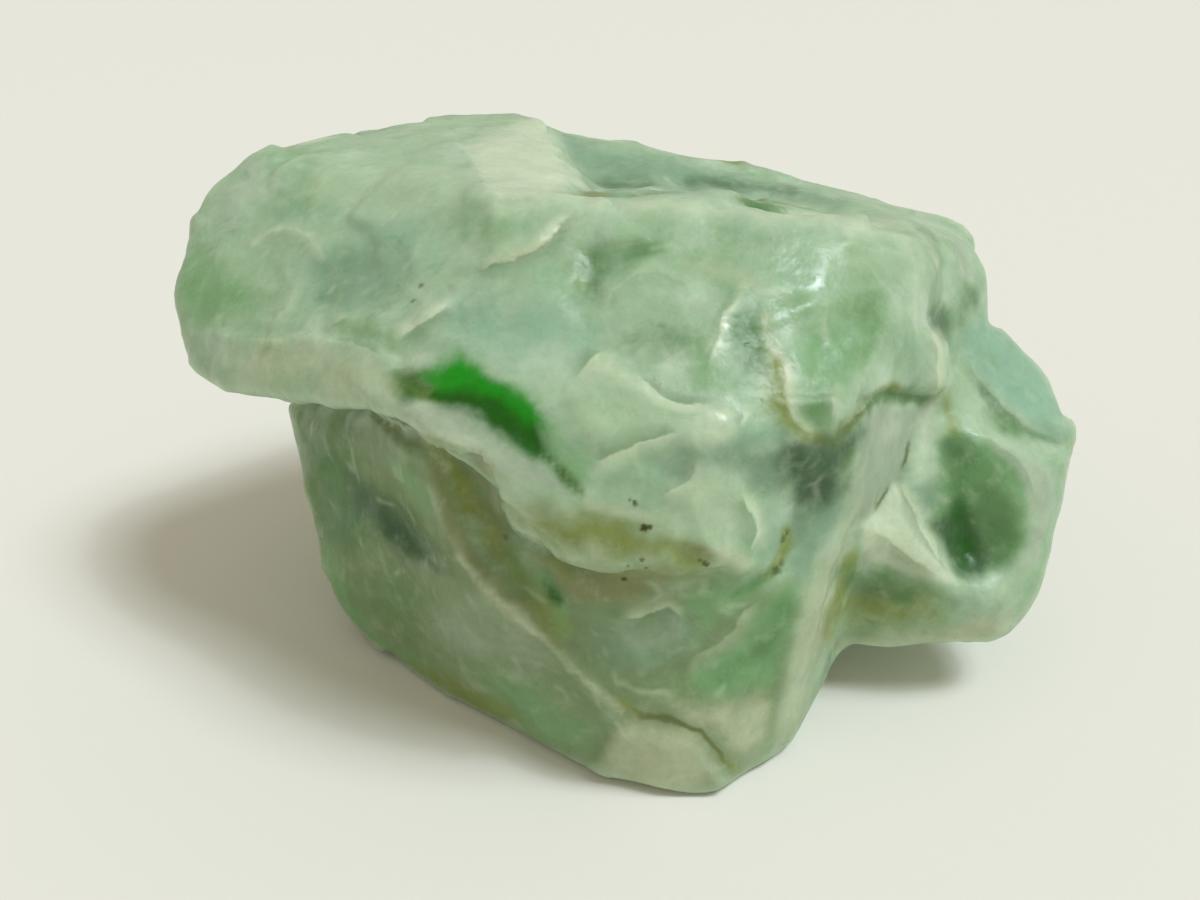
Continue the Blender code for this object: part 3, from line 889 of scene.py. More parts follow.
TRUNK_STAINS = {
    # Painted shade: the whole lower body is darkened for the shade it lies in under the overhang.
    "trunk": patch(
        Tint.MOSS, 0.9, 0.5, (284, 404), (395, 426), (440, 470), (500, 532), (560, 562),
        (700, 572), (790, 582), (800, 640), (780, 740), (740, 792), (640, 802), (520, 742),
        (390, 672), (328, 602), (300, 480)),
    "leaf under the slab": streak(Tint.DEEP, 0.5, 0.9, (312, 420), (345, 440)),
    "leaf on the wall": streak(Tint.LEAF, 0.7, 0.5, (396, 468), (420, 492), (430, 508)),
    # Mostly painted shade, darkening the wall's hollow.
    "wall hollow": patch(
        Tint.DARK, 1.1, 0.7, (350, 475), (385, 500), (410, 522), (436, 555), (441, 574),
        (414, 565), (385, 540), (360, 512)),
    "wall's green edge": streak(
        Tint.LEAF, 0.85, 0.5, (328, 545), (338, 590), (350, 612), (372, 642), (420, 668)),
    "lower wall": patch(
        Tint.DEEP, 0.5, 1.2, (340, 570), (400, 560), (430, 600), (400, 640), (362, 630)),
    "pale of the wall": patch(
        Tint.MIST, 0.5, 0.7, (425, 600), (470, 590), (530, 620), (570, 660), (540, 680),
        (460, 665), (425, 640)),
    "slanting ridge": streak(
        Tint.TAN, 0.8, 0.45, (430, 452), (445, 510), (468, 560), (500, 600), (550, 642)),
    "ridge's light": streak(
        Tint.SAND, 0.6, 0.2, (455, 558), (490, 592), (545, 640), (600, 692), (622, 715)),
    "olive beside the ridge": streak(
        Tint.OLIVE, 0.6, 0.6, (458, 485), (490, 532), (520, 575), (545, 610), (560, 632)),
    "green pocket": patch(
        Tint.FOREST, 0.75, 0.22, (537, 582), (546, 580), (556, 590), (565, 602), (560, 608),
        (546, 600)),
    "deep by the pocket": streak(Tint.DEEP, 0.5, 0.5, (514, 562), (530, 585)),
    "tan under the shelf": patch(
        Tint.TAN, 1.25, 0.4, (526, 546), (545, 552), (562, 564), (590, 570), (650, 576),
        (640, 600), (590, 604), (566, 592), (546, 570)),
    "grey front": patch(
        Tint.GREY, 0.5, 0.6, (580, 610), (690, 606), (712, 648), (660, 676), (600, 672)),
    "cloud": patch(
        Tint.MIST, 0.45, 0.25, (612, 617), (642, 618), (654, 609), (676, 612), (690, 630),
        (660, 650), (620, 645)),
    "pale under the pocket": patch(
        Tint.PALE, 0.55, 0.25, (650, 575), (700, 577), (692, 592), (652, 592)),
    "leaf over the flake": patch(
        Tint.LEAF, 0.8, 0.4, (690, 587), (740, 576), (772, 576), (745, 612), (704, 630),
        (682, 606)),
    "green band": patch(
        Tint.LEAF, 1.0, 0.5, (745, 630), (770, 600), (790, 580), (800, 600), (786, 650),
        (770, 682), (712, 698), (690, 680), (712, 656)),
    "band's core": streak(Tint.DEEP, 0.6, 0.6, (722, 672), (762, 652), (782, 610)),
    "pale under the band": patch(
        Tint.SAND, 0.75, 0.45, (655, 698), (700, 706), (765, 692), (776, 702), (770, 745),
        (745, 772), (716, 740), (686, 725)),
    "toe shell": patch(
        Tint.SAND, 0.9, 0.5, (626, 716), (650, 718), (690, 733), (706, 748), (718, 772),
        (700, 796), (650, 794), (600, 772), (612, 742)),
    "toe edge": streak(
        Tint.OLIVE, 0.95, 0.15, (620, 705), (640, 717), (670, 718), (690, 728), (708, 742),
        (722, 760), (738, 770)),
    "toe nick": streak(Tint.OLIVE, 0.6, 0.12, *TOE_NICK),
    "low leaf": patch(
        Tint.LEAF, 0.75, 0.9, (480, 668), (540, 680), (600, 735), (585, 752), (540, 745),
        (500, 715)),
    "low olive": streak(Tint.OLIVE, 0.6, 0.4, (412, 666), (460, 690), (512, 716)),
    "right corner": patch(
        Tint.SAND, 0.6, 0.35, (856, 440), (872, 440), (862, 520), (843, 580), (829, 640),
        (806, 700), (785, 750), (768, 760), (778, 700), (795, 620), (815, 560), (845, 510)),
    "side wall": patch(
        Tint.MIST, 1.0, 0.3, (870, 406), (928, 405), (912, 436), (905, 464), (884, 496),
        (862, 524), (858, 470)),
    "wall's green": patch(
        Tint.DEEP, 0.95, 1.0, (300, 430), (352, 450), (390, 510), (372, 560), (322, 540)),
    "pocket's leaf": streak(Tint.LEAF, 0.9, 0.4, (540, 578), (552, 592), (560, 612), (562, 632)),
    "olive nook": streak(Tint.OLIVE, 0.6, 0.35, (548, 562), (572, 574)),
    "side wall's pale head": patch(
        Tint.CREAM, 0.45, 0.5, (874, 410), (920, 410), (900, 440), (872, 446)),
    "side wall's grey streak": streak(Tint.GREY, 0.4, 0.35, (882, 455), (868, 500), (850, 540)),
    "wall's olive": patch(
        Tint.OLIVE, 0.5, 1.2, (296, 420), (352, 440), (400, 500), (400, 560), (340, 560),
        (316, 500)),
    "foot of the side": patch(
        Tint.TAN, 0.8, 0.8, (812, 640), (838, 640), (826, 690), (800, 740), (784, 740),
        (800, 690)),
}

LOBE_STAINS = {
    "upper facet": patch(
        Tint.SEA, 1.0, 0.4, (956, 338), (984, 314), (999, 320), (1037, 360), (1065, 401),
        (1073, 431), (1060, 440), (1037, 432), (1006, 411), (984, 387), (962, 356)),
    "between facet and rim": patch(
        Tint.PALE, 0.45, 0.35, (950, 360), (985, 395), (1010, 425), (1050, 440), (1055, 460),
        (1010, 445), (960, 430), (948, 400)),
    "rim": patch(
        Tint.MIST, 0.7, 0.25, (985, 445), (1030, 458), (1056, 468), (1050, 520), (1040, 560),
        (1015, 582), (1030, 530), (1027, 480)),
    "bowl": patch(
        Tint.LEAF, 1.1, 0.5, (937, 438), (962, 432), (987, 444), (1013, 460), (1030, 484),
        (1032, 505), (1025, 532), (1012, 560), (987, 576), (965, 570), (950, 546), (930, 530),
        (926, 515), (944, 499), (944, 477), (940, 459)),
    "bowl's leaf side": streak(Tint.GREY, 0.8, 0.9, (1002, 470), (1008, 530)),
    "bowl's dark head": streak(Tint.DARK, 0.5, 0.5, (946, 448), (958, 452), (966, 446)),
    "bowl's dark foot": patch(
        Tint.DARK, 1.2, 0.5, (930, 522), (955, 518), (972, 545), (992, 562), (980, 577),
        (958, 570)),
    "bowl's forest streak": streak(Tint.FOREST, 0.7, 0.6, (958, 505), (964, 535), (968, 560)),
    "rib": streak(
        Tint.CREAM, 0.75, 0.4, (934, 335), (940, 356), (939, 381), (935, 403), (922, 430)),
    "rib's lower end": patch(
        Tint.CREAM, 0.6, 0.5, (912, 446), (930, 412), (944, 430), (936, 446), (928, 480),
        (912, 478)),
    "olive beside the rib": streak(Tint.OLIVE, 0.75, 0.35, (943, 396), (950, 416), (954, 434)),
    "grey wall of the bowl": patch(
        Tint.GREY, 0.9, 0.35, (914, 488), (932, 478), (944, 486), (940, 508), (922, 512)),
    "left facets": patch(
        Tint.CREAM, 1.2, 0.25, (861, 524), (880, 502), (897, 483), (907, 482), (914, 506),
        (931, 548), (954, 584), (930, 582), (900, 570), (872, 560), (863, 545)),
    "facets' grey": streak(Tint.SEA, 0.4, 0.4, (900, 512), (918, 545)),
    "olive foot": patch(
        Tint.OLIVE, 0.8, 0.7, (836, 580), (870, 580), (920, 592), (950, 602), (946, 626),
        (900, 632), (834, 624)),
    "grey foot": patch(
        Tint.GREY, 0.8, 0.6, (925, 590), (960, 585), (990, 590), (996, 612), (950, 618)),
    "lower edge": patch(
        Tint.SAND, 0.75, 0.35, (838, 640), (900, 634), (960, 625), (1012, 610), (1005, 637),
        (940, 651), (838, 656)),
    "right edge": streak(Tint.LEAF, 0.5, 0.45, (1050, 545), (1030, 592)),
    "cleft": streak(Tint.OLIVE, 0.95, 0.4, (852, 556), (840, 590), (826, 635)),
    "wedge under the facet": patch(
        Tint.DEEP, 1.0, 0.4, (984, 388), (1000, 402), (1024, 424), (1056, 441), (1030, 442),
        (1002, 432), (988, 412)),
    "bowl's dark left": patch(
        Tint.DEEP, 1.0, 0.6, (940, 440), (965, 436), (985, 450), (976, 480), (972, 520),
        (985, 560), (978, 574), (960, 568), (945, 545), (928, 525), (945, 498)),
    "bowl's grey rim": streak(
        Tint.MIST, 0.8, 0.26, (994, 448), (1016, 462), (1030, 486), (1036, 506)),
    "lower facet": streak(Tint.LEAF, 0.5, 0.5, (880, 575), (915, 585), (945, 594)),
    "bowl's depth": patch(
        Tint.DEEP, 0.6, 0.6, (944, 438), (965, 434), (988, 443), (1008, 460), (1022, 484),
        (1024, 526), (1020, 554), (1006, 571), (980, 576), (950, 550), (930, 526), (946, 490)),
    "foot's dark green": streak(Tint.DEEP, 0.7, 0.6, (846, 572), (870, 582), (905, 596)),
}

STAINS = [
    stain
    for part in (SLAB_STAINS, BROW_STAINS, TOP_STAINS, NOSE_STAINS, TRUNK_STAINS, LOBE_STAINS)
    for stain in part.values()
]


@dataclass(frozen=True)
class Speck:
    """A speck of iron.

    Attributes:
        place: Its centre, in metres.
        radius: Its radius, in mm.
        strength: How strongly it covers the stone, from 0 to 1.
    """

    place: tuple[float, float, float]
    radius: float
    strength: float


# The specks of iron: where the main view sees them, how wide they are in mm, how strong.
IRON = (
    ((635, 503), 0.10, 0.8),
    ((630, 500), 0.06, 0.5),
    ((645, 528), 0.14, 1.0),
    ((650, 527), 0.11, 0.9),
    ((641, 530), 0.06, 0.5),
    ((642, 560), 0.09, 0.7),
    ((646, 568), 0.07, 0.5),
    ((624, 579), 0.11, 0.85),
    ((628, 566), 0.07, 0.5),
    ((706, 564), 0.12, 0.8),
    ((700, 560), 0.07, 0.5),
    ((783, 539), 0.18, 0.6),
    ((787, 532), 0.13, 0.6),
    ((776, 570), 0.16, 0.6),
    ((781, 563), 0.12, 0.5),
    ((506, 537), 0.12, 0.5),
    ((421, 286), 0.11, 0.55),
    ((413, 301), 0.11, 0.5),
)

# Where the stone is rubbed to a polish, and how far each of those places reaches, in mm.
POLISHED = (
    (283, 150), (460, 363), (723, 320), (714, 342), (796, 276), (816, 282), (837, 274),
    (850, 269), (866, 244), (884, 248), (898, 252), (1009, 491))
POLISH_REACH = 0.36


# ---------------------------------------------------------------- the skin

WELD_GAP = 1e-6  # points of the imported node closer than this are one, in metres

# How far a point turns to the view before it counts as seen, from not at all to fully, how
# far behind the first hit it may lie, in grains, and how often that border is blended.
SEEN_TURN = (0.02, 0.2)
SEEN_SLACK = 1.5
SEEN_BLENDS = 8
HIDDEN_TURN = (0.15, 0.45)  # how far a point turns away before rich tints may drift there

# The waves that bend and fray the marks: their size in mm, and where the noise is read.
WANDER_WAVES = (1.2, 3.0)
FRAY_WAVES = (0.5, 4.0)

# The waves that bend the facets: size in mm, where the noise is read, and reach in mm.
FACET_WAVES = ((4.0, 9.0, 1.4), (1.6, 5.0, 0.5))
FACET_TRIES = 6000  # how many points are tried as a facet's middle
FACET_RIDGE = 0.3  # how wide the ridge between two facets is, as a share of their spacing
FACET_BLENDS = 2
FACET_CALM = 0.6  # how much calmer the facets are where the marked relief takes over

NORMAL_BLENDS = 3  # how often the normals are blended before the skin is pressed
BROAD_BLENDS = 40  # how often the skin is blended to find its broad form
PROUD_HEIGHT = 0.22  # how far a full ridge stands out of the broad form, in mm

# Rims: the share of a rim over which each end fades, the farthest gap that is stored, how
# clear of the next rim a point has to be, and where a rim's reach ends, all in mm.
RIM_FADE = 0.22
RIM_FARTHEST = 2.0
RIM_CLEAR = (0.15, 0.6)
RIM_END = (0.9, 1.5)


@dataclass
class Skin:
    """The stone's visible skin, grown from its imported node.

    Attributes:
        view: The view that the marks are placed in.
        grain: Spacing of the skin's points, in mm.
        wear: How often the fine skin is smoothed before the relief.
        facet_spacing: Spacing of the small worn facets, in mm.
        facet_dish: Depth of each facet's dish, in mm.
        facet_tilt: Slope that sets one facet's level apart from the next.
        wander: How far noise bends the marks' outlines, in mm.
        fray: How far finer noise breaks them up, in mm.
        foot_height: How far over the ground the foot stays as it is, in mm.
        seed: The seed of all that is random.
    """

    view: MainView
    grain: float = 0.21
    wear: int = 22
    facet_spacing: float = 3.4
    facet_dish: float = 0.16
    facet_tilt: float = 0.06
    wander: float = 0.18
    fray: float = 0.05
    foot_height: float = 0.6
    seed: int = 11
    piece: bpy.types.Object = field(init=False)
    points: np.ndarray = field(init=False)
    normals: np.ndarray = field(init=False)
    edges: np.ndarray = field(init=False)
    seen: np.ndarray = field(init=False)

    def build(self) -> bpy.types.Object:
        """Grow the skin, shape it and lay the stains on it.

        Returns:
            The finished piece, not yet dressed.
        """
        noise.seed_set(self.seed)
        self.piece = self._even_skin()
        self._read()
        self.seen = self._seen()
        self._press(self._facets() + self._marks())
        self._write()
        self.piece = WeatherTree(seed=self.seed).apply(self.piece)
        self._read()
        self._stand()
        self._store_stains()
        return self.piece

    def _even_skin(self) -> bpy.types.Object:
        """A fine, even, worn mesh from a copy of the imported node."""
        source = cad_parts[STONE_NODE]
        copy = bpy.data.objects.new("skin_source", source.data.copy())
        copy.data.transform(source.matrix_world)
        bpy.context.scene.collection.objects.link(copy)
        weld = copy.modifiers.new("merge", "WELD")
        weld.merge_threshold = WELD_GAP
        even = copy.modifiers.new("even", "REMESH")
        even.mode = "VOXEL"
        even.voxel_size = self.grain * MM
        worn = copy.modifiers.new("worn", "SMOOTH")
        worn.factor = 0.5
        worn.iterations = self.wear
        return mesh_piece("jade_skin", copy)

    def _read(self) -> None:
        """Read the points, normals and edges of the piece, in millimetres."""
        mesh = self.piece.data
        self.points = read_rows(mesh.vertices, "co", 3, np.float32).astype(float) / MM
        self.normals = read_rows(mesh.vertex_normals, "vector", 3, np.float32).astype(float)
        self.edges = read_rows(mesh.edges, "vertices", 2, np.int32)

    def _write(self) -> None:
        """Write the points back to the piece."""
        self.piece.data.vertices.foreach_set("co", (self.points * MM).astype(np.float32).ravel())
        self.piece.data.update()

    def _spread(self, values: np.ndarray, passes: int) -> np.ndarray:
        """Blend values with those of their neighbours.

        Args:
            values: One row for each point.
            passes: How often they are blended.

        Returns:
            The blended values.
        """
        first, second = self.edges[:, 0], self.edges[:, 1]
        table = values.reshape(len(values), -1)
        count = np.bincount(self.edges.ravel(), minlength=len(values))[:, None]
        for _ in range(passes):
            near = np.stack([
                np.bincount(first, table[second, column], len(values))
                + np.bincount(second, table[first, column], len(values))
                for column in range(table.shape[1])
            ], axis=1)
            table = 0.5 * table + 0.5 * near / np.maximum(count, 1)
        return table.reshape(values.shape)

    def _seen(self) -> np.ndarray:
        """How surely the main view sees each point, from 0 to 1."""
        eye = Vector(self.view.eye) * MM
        tree = BVHTree.FromObject(self.piece, bpy.context.evaluated_depsgraph_get())
        facing = self._facing()
        clear = np.zeros(len(self.points))
        slack = SEEN_SLACK * self.grain * MM
        for index in np.flatnonzero(facing > 0.0):
            point = Vector(self.points[index]) * MM
            ray = point - eye
            hit = tree.ray_cast(eye, ray.normalized())
            clear[index] = hit[0] is not None and hit[3] > ray.length - slack
        return self._spread(clear * smooth_step(*SEEN_TURN, facing), SEEN_BLENDS)

    def _facing(self) -> np.ndarray:
        """How far each point is turned to the main view, from -1 to 1."""
        toward = np.array(self.view.eye) - self.points
        toward /= np.linalg.norm(toward, axis=1)[:, None]
        return np.einsum("ij,ij->i", toward, self.normals)

    def _wandering(self, size: float, offset: float) -> np.ndarray:
        """A noise direction for each point.

        Args:
            size: The size of the noise's waves, in mm.
            offset: Where in the noise to read.

        Returns:
            One direction for each point, each part between about -1 and 1.
        """
        shift = Vector((offset, offset, offset))
        return np.array([noise.noise_vector(Vector(p) / size + shift) for p in self.points])

    def _sight(self) -> Sight:
        """The points as the main view sees them, with their places bent by noise."""
        places, scale = self.view.project(self.points)
        bend = self._wandering(*WANDER_WAVES)[:, :2] * self.wander
        bend += self._wandering(*FRAY_WAVES)[:, :2] * self.fray
        return Sight(places + bend / scale[:, None], scale, self.seen)

    def _marks(self) -> np.ndarray:
        """The height that the marked relief adds at each point, in mm."""
        sight = self._sight()
        height = np.zeros(len(self.points))
        for relief in RELIEF:
            height += relief.height * relief.mark.rise(sight)
        return height * self.seen

    def _facets(self) -> np.ndarray:
        """The height that the small worn facets add at each point, in mm."""
        rng = np.random.default_rng(self.seed)
        warped = self.points
        for size, offset, reach in FACET_WAVES:
            warped = warped + self._wandering(size, offset) * reach
        seeds = self._apart(rng, warped)
        tree = KDTree(len(seeds))
        for index, seed in enumerate(seeds):
            tree.insert(Vector(seed), index)
        tree.balance()
        found = [tree.find_n(Vector(point), 2) for point in warped]
        nearest = np.array([pair[0][1] for pair in found])
        near = np.array([pair[0][2] for pair in found])
        far = np.array([pair[1][2] for pair in found])
        tilts = rng.normal(0.0, 1.0, (len(seeds), 3)) * self.facet_tilt
        slope = np.einsum("ij,ij->i", tilts[nearest], warped - seeds[nearest])
        dish = np.exp(-(far - near) / (FACET_RIDGE * self.facet_spacing)) * self.facet_dish
        return self._spread(dish + slope, FACET_BLENDS) * (1.0 - FACET_CALM * self.seen)

    def _apart(self, rng: np.random.Generator, warped: np.ndarray) -> np.ndarray:
        """Points of the skin that lie at least a facet's spacing apart."""
        kept: list[np.ndarray] = []
        for index in rng.permutation(len(warped))[:FACET_TRIES]:
            gaps = [np.sum((warped[index] - other) ** 2) for other in kept]
            if not gaps or min(gaps) > self.facet_spacing ** 2:
                kept.append(warped[index])
        return np.array(kept)

    def _press(self, height: np.ndarray) -> None:
        """Move the points along their normals, but leave the foot as it is."""
        free = smooth_step(0.0, self.foot_height, self.points[:, 2])
        steady = self._spread(self.normals, NORMAL_BLENDS)
        steady /= np.linalg.norm(steady, axis=1)[:, None]
        self.points += steady * (height * free)[:, None]
        smoothed = self._spread(self.points, 1)
        self.points += (smoothed - self.points) * free[:, None]

    def _stand(self) -> None:
        """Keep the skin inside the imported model's box, and so on the ground."""
        low, high = (np.array(corner) / MM for corner in CAD_BOX)
        self.points = np.clip(self.points, low, high)
        self._write()
        self._read()

    def _proud(self) -> np.ndarray:
        """How far each point stands out, from -1 in hollows to 1 on ridges."""
        broad = self._spread(self.points, BROAD_BLENDS)
        height = np.einsum("ij,ij->i", self.points - broad, self.normals)
        return np.clip(self._spread(height, 1) / PROUD_HEIGHT, -1.0, 1.0)

    def _store_stains(self) -> None:
        """Store the stains, and what the finish reads beside them, on the skin's points."""
        sight = self._sight()
        behind = smooth_step(*HIDDEN_TURN, -self._facing())
        for tint in Tint:
            cover = np.zeros(len(self.points))
            for stain in STAINS:
                if stain.tint is tint:
                    cover = np.maximum(cover, stain.strength * stain.mark.cover(sight))
            drift = DRIFTS[tint].cover(self.points, len(tint.value) * DRIFT_STRIDE)
            drift *= behind if tint in RICH_TINTS else 1.0 - self.seen
            self._store(tint.value, cover * self.seen + drift * (1.0 - self.seen))
        self._store_rims(sight)
        self._store("proud", self._proud())
        polish = [Mark((spot,), POLISH_REACH).cover(sight) for spot in POLISHED]
        self._store("polish", np.max(polish, axis=0) * self.seen)

    def specks(self) -> tuple[Speck, ...]:
        """The specks of iron, each set on the skin where the main view sees it."""
        eye = Vector(self.view.eye) * MM
        tree = BVHTree.FromObject(self.piece, bpy.context.evaluated_depsgraph_get())
        hits = [tree.ray_cast(eye, self.view.ray(spot))[0] for spot, _, _ in IRON]
        return tuple(
            Speck(tuple(hit), radius, strength)
            for hit, (_, radius, strength) in zip(hits, IRON)
            if hit is not None
        )

    def _store_rims(self, sight: Sight) -> None:
        """Store each point's gap to the nearest rim, with its side, and that rim's light."""
        best = np.full(len(self.points), np.inf)
        second = best.copy()
        signed = np.zeros(len(self.points))
        light = np.zeros(len(self.points))
        for edge in RIMS.values():
            near = sight.near(edge.spots)
            closer = near.gap < best
            second = np.where(closer, best, np.minimum(second, near.gap))
            best[closer] = near.gap[closer]
            signed[closer] = (near.gap * near.side)[closer]
            fade_in = smooth_step(0.0, RIM_FADE, near.along)
            taper = fade_in * smooth_step(0.0, RIM_FADE, 1.0 - near.along)
            light[closer] = (edge.light * taper)[closer]
        self._store("rim_gap", np.clip(signed, -RIM_FARTHEST, RIM_FARTHEST))
        clear = smooth_step(*RIM_CLEAR, second - best) * (1.0 - smooth_step(*RIM_END, best))
        self._store("rim_light", light * self.seen * clear)

    def _store(self, name: str, values: np.ndarray) -> None:
        """Store one number for each point."""
        layer = self.piece.data.attributes.new(name, "FLOAT", "POINT")
        layer.data.foreach_set("value", values.astype(np.float32))


# ---------------------------------------------------------------- node sheets

# A Mix node's sockets for colours, by number, because their names repeat.
MIX_SHARE, MIX_BELOW, MIX_ABOVE, MIX_RESULT = 0, 6, 7, 2


class Term:
    """A socket, or a number, that is written in Python sums and becomes Math nodes."""

    def __init__(self, sheet: "Sheet", socket: Any) -> None:
        """Wrap a socket of a sheet."""
        self.sheet = sheet
        self.socket = socket

    def _sum(self, operation: str, first: Any, second: Any) -> "Term":
        """One Math node on two terms."""
        made = self.sheet.add("ShaderNodeMath", {"operation": operation}, {0: first, 1: second})
        return self.sheet.term(made)

    def __add__(self, other: Any) -> "Term":
        """This plus other."""
        return self._sum("ADD", self, other)

    def __radd__(self, other: Any) -> "Term":
        """Other plus this."""
        return self._sum("ADD", other, self)

    def __sub__(self, other: Any) -> "Term":
        """This minus other."""
        return self._sum("SUBTRACT", self, other)

    def __rsub__(self, other: Any) -> "Term":
        """Other minus this."""
        return self._sum("SUBTRACT", other, self)

    def __mul__(self, other: Any) -> "Term":
        """This times other."""
        return self._sum("MULTIPLY", self, other)

    def __rmul__(self, other: Any) -> "Term":
        """Other times this."""
        return self._sum("MULTIPLY", other, self)

    def __truediv__(self, other: Any) -> "Term":
        """This over other."""
        return self._sum("DIVIDE", self, other)

    def __rtruediv__(self, other: Any) -> "Term":
        """Other over this."""
        return self._sum("DIVIDE", other, self)

    def __abs__(self) -> "Term":
        """This without its sign."""
        return self._sum("ABSOLUTE", self, 0.0)

    def swing(self, size: float) -> "Term":
        """A noise of 0 to 1 as a swing to both sides of nought."""
        return (self - 0.5) * size

    def stepped(self, low: Any, high: Any) -> "Term":
        """A soft step from 0 to 1 between two values of this."""
        made = self.sheet.add(
            "ShaderNodeMapRange",
            {"interpolation_type": "SMOOTHSTEP"},
            {"Value": self, "From Min": low, "From Max": high},
        )
        return self.sheet.term(made, "Result")


class Sheet:
    """A node tree that is written in Python."""

    def __init__(self, tree: bpy.types.NodeTree) -> None:
        """Wrap a tree."""
        self.tree = tree

    def add(self, kind: str, settings: dict[str, Any], sockets: dict[Any, Any]) -> bpy.types.Node:
        """Add a node.

        Args:
            kind: The node's type.
            settings: Its own properties, which are set first.
            sockets: What each input gets, by name or number: a value, a Term or a socket.

        Returns:
            The new node.
        """
        node = self.tree.nodes.new(kind)
        for name, value in settings.items():
            setattr(node, name, value)
        for key, value in sockets.items():
            source = value.socket if isinstance(value, Term) else value
            if isinstance(source, bpy.types.NodeSocket):
                self.tree.links.new(source, node.inputs[key])
            else:
                node.inputs[key].default_value = source
        return node

    def term(self, node: bpy.types.Node, output: Any = 0) -> Term:
        """One output of a node as a Term."""
        return Term(self, node.outputs[output])

    def vector(self, operation: str, sockets: dict[Any, Any], output: Any = 0) -> Term:
        """One output of a Vector Math node."""
        made = self.add("ShaderNodeVectorMath", {"operation": operation}, sockets)
        return self.term(made, output)

    def blend(self, share: Any, below: Any, above: Colour) -> Term:
        """Lay one colour over another.

        Args:
            share: How much of the upper colour shows.
            below: The lower colour, as a Term or as plain numbers.
            above: The upper colour.

        Returns:
            The mixed colour.
        """
        ground = below if isinstance(below, Term) else (*below, 1.0)
        sockets = {MIX_SHARE: share, MIX_BELOW: ground, MIX_ABOVE: (*above, 1.0)}
        return self.term(self.add("ShaderNodeMix", {"data_type": "RGBA"}, sockets), MIX_RESULT)


# ---------------------------------------------------------------- geometry node trees


def tree_modifier(
    piece: bpy.types.Object, tree: bpy.types.NodeTree, values: dict[str, Any]
) -> None:
    """Put a geometry tree on a piece.

    Args:
        piece: The piece that gets the modifier.
        tree: The tree.
        values: What each of its named inputs gets.
    """
    modifier = piece.modifiers.new(tree.name, "NODES")
    modifier.node_group = tree
    for item in tree.interface.items_tree:
        if item.name in values:
            modifier[item.identifier] = values[item.name]


def named_inputs(tree: bpy.types.NodeTree, names: Iterable[str]) -> None:
    """Give a geometry tree its geometry sockets and its named number inputs."""
    face = tree.interface
    face.new_socket("Geometry", in_out="INPUT", socket_type="NodeSocketGeometry")
    face.new_socket("Geometry", in_out="OUTPUT", socket_type="NodeSocketGeometry")
    for name in names:
        face.new_socket(name, in_out="INPUT", socket_type="NodeSocketFloat")


# The noise that gathers the pits in patches: where it is read, and its waves to the metre.
PIT_PATCH_OFFSET = 17.0
PIT_PATCH_SCALE = 260.0


@dataclass
class WeatherTree:
    """Roughens and pits a skin the way water and grit do.

    Attributes:
        seed: Where in the noise the tree reads.
        swell: Height of the low swells, in mm.
        swell_size: Their size, in mm.
        pit: Depth of the small pits, in mm.
        pit_size: Their spacing, in mm.
        foot: How far over the ground the weathering fades out, in mm.
    """

    seed: int
    swell: float = 0.06
    swell_size: float = 1.3
    pit: float = 0.04
    pit_size: float = 0.75
    foot: float = 0.6

    def _tree(self) -> bpy.types.NodeTree:
        """The tree: swells and pits along the normal, fading out at the foot."""
        names = ("Swell", "Swell Size", "Pit", "Pit Size", "Foot", "Seed")
        tree = bpy.data.node_groups.new("weathering", "GeometryNodeTree")
        named_inputs(tree, names)
        sheet = Sheet(tree)
        source = sheet.add("NodeGroupInput", {}, {})
        given = {name: sheet.term(source, name) for name in names}
        place = sheet.term(sheet.add("GeometryNodeInputPosition", {}, {}))
        height = sheet.term(sheet.add("ShaderNodeSeparateXYZ", {}, {0: place}), "Z")
        ground = height.stepped(0.0, given["Foot"])
        wave = sheet.add("ShaderNodeTexNoise", {"noise_dimensions": "4D"}, {
            "Vector": place,
            "W": given["Seed"],
            "Scale": 1.0 / given["Swell Size"],
            "Detail": 3.0,
            "Roughness": 0.55,
        })
        dots = sheet.add("ShaderNodeTexVoronoi", {"feature": "SMOOTH_F1"}, {
            "Vector": place,
            "Scale": 1.0 / given["Pit Size"],
            "Smoothness": 0.6,
        })
        patchy = sheet.add("ShaderNodeTexNoise", {"noise_dimensions": "4D"}, {
            "Vector": place,
            "W": PIT_PATCH_OFFSET,
            "Scale": PIT_PATCH_SCALE,
            "Detail": 1.0,
        })
        swells = sheet.term(wave, "Fac").swing(2.0) * given["Swell"]
        depth = 1.0 - sheet.term(dots, "Distance").stepped(0.1, 0.75)
        share = sheet.term(patchy, "Fac").stepped(0.45, 0.62)
        pits = depth * share * given["Pit"]
        normal = sheet.term(sheet.add("GeometryNodeInputNormal", {}, {}))
        shift = sheet.vector("SCALE", {0: normal, "Scale": (swells - pits) * ground})
        whole = {"Geometry": source.outputs["Geometry"], "Offset": shift}
        moved = sheet.add("GeometryNodeSetPosition", {}, whole)
        real = sheet.add("GeometryNodeRealizeInstances", {}, {0: moved.outputs[0]})
        dressed = sheet.add("GeometryNodeSetMaterial", {}, {0: real.outputs[0]})
        sheet.add("NodeGroupOutput", {}, {0: dressed.outputs[0]})
        return tree

    def apply(self, piece: bpy.types.Object) -> bpy.types.Object:
        """Weather a piece.

        Args:
            piece: The skin, which is used up.

        Returns:
            The weathered skin, as a plain mesh of the same name.
        """
        tree_modifier(piece, self._tree(), {
            "Swell": self.swell * MM,
            "Swell Size": self.swell_size * MM,
            "Pit": self.pit * MM,
            "Pit Size": self.pit_size * MM,
            "Foot": self.foot * MM,
            "Seed": float(self.seed),
        })
        name = piece.name
        piece.name = "unweathered"
        return mesh_piece(name, piece)


# ---------------------------------------------------------------- finishes


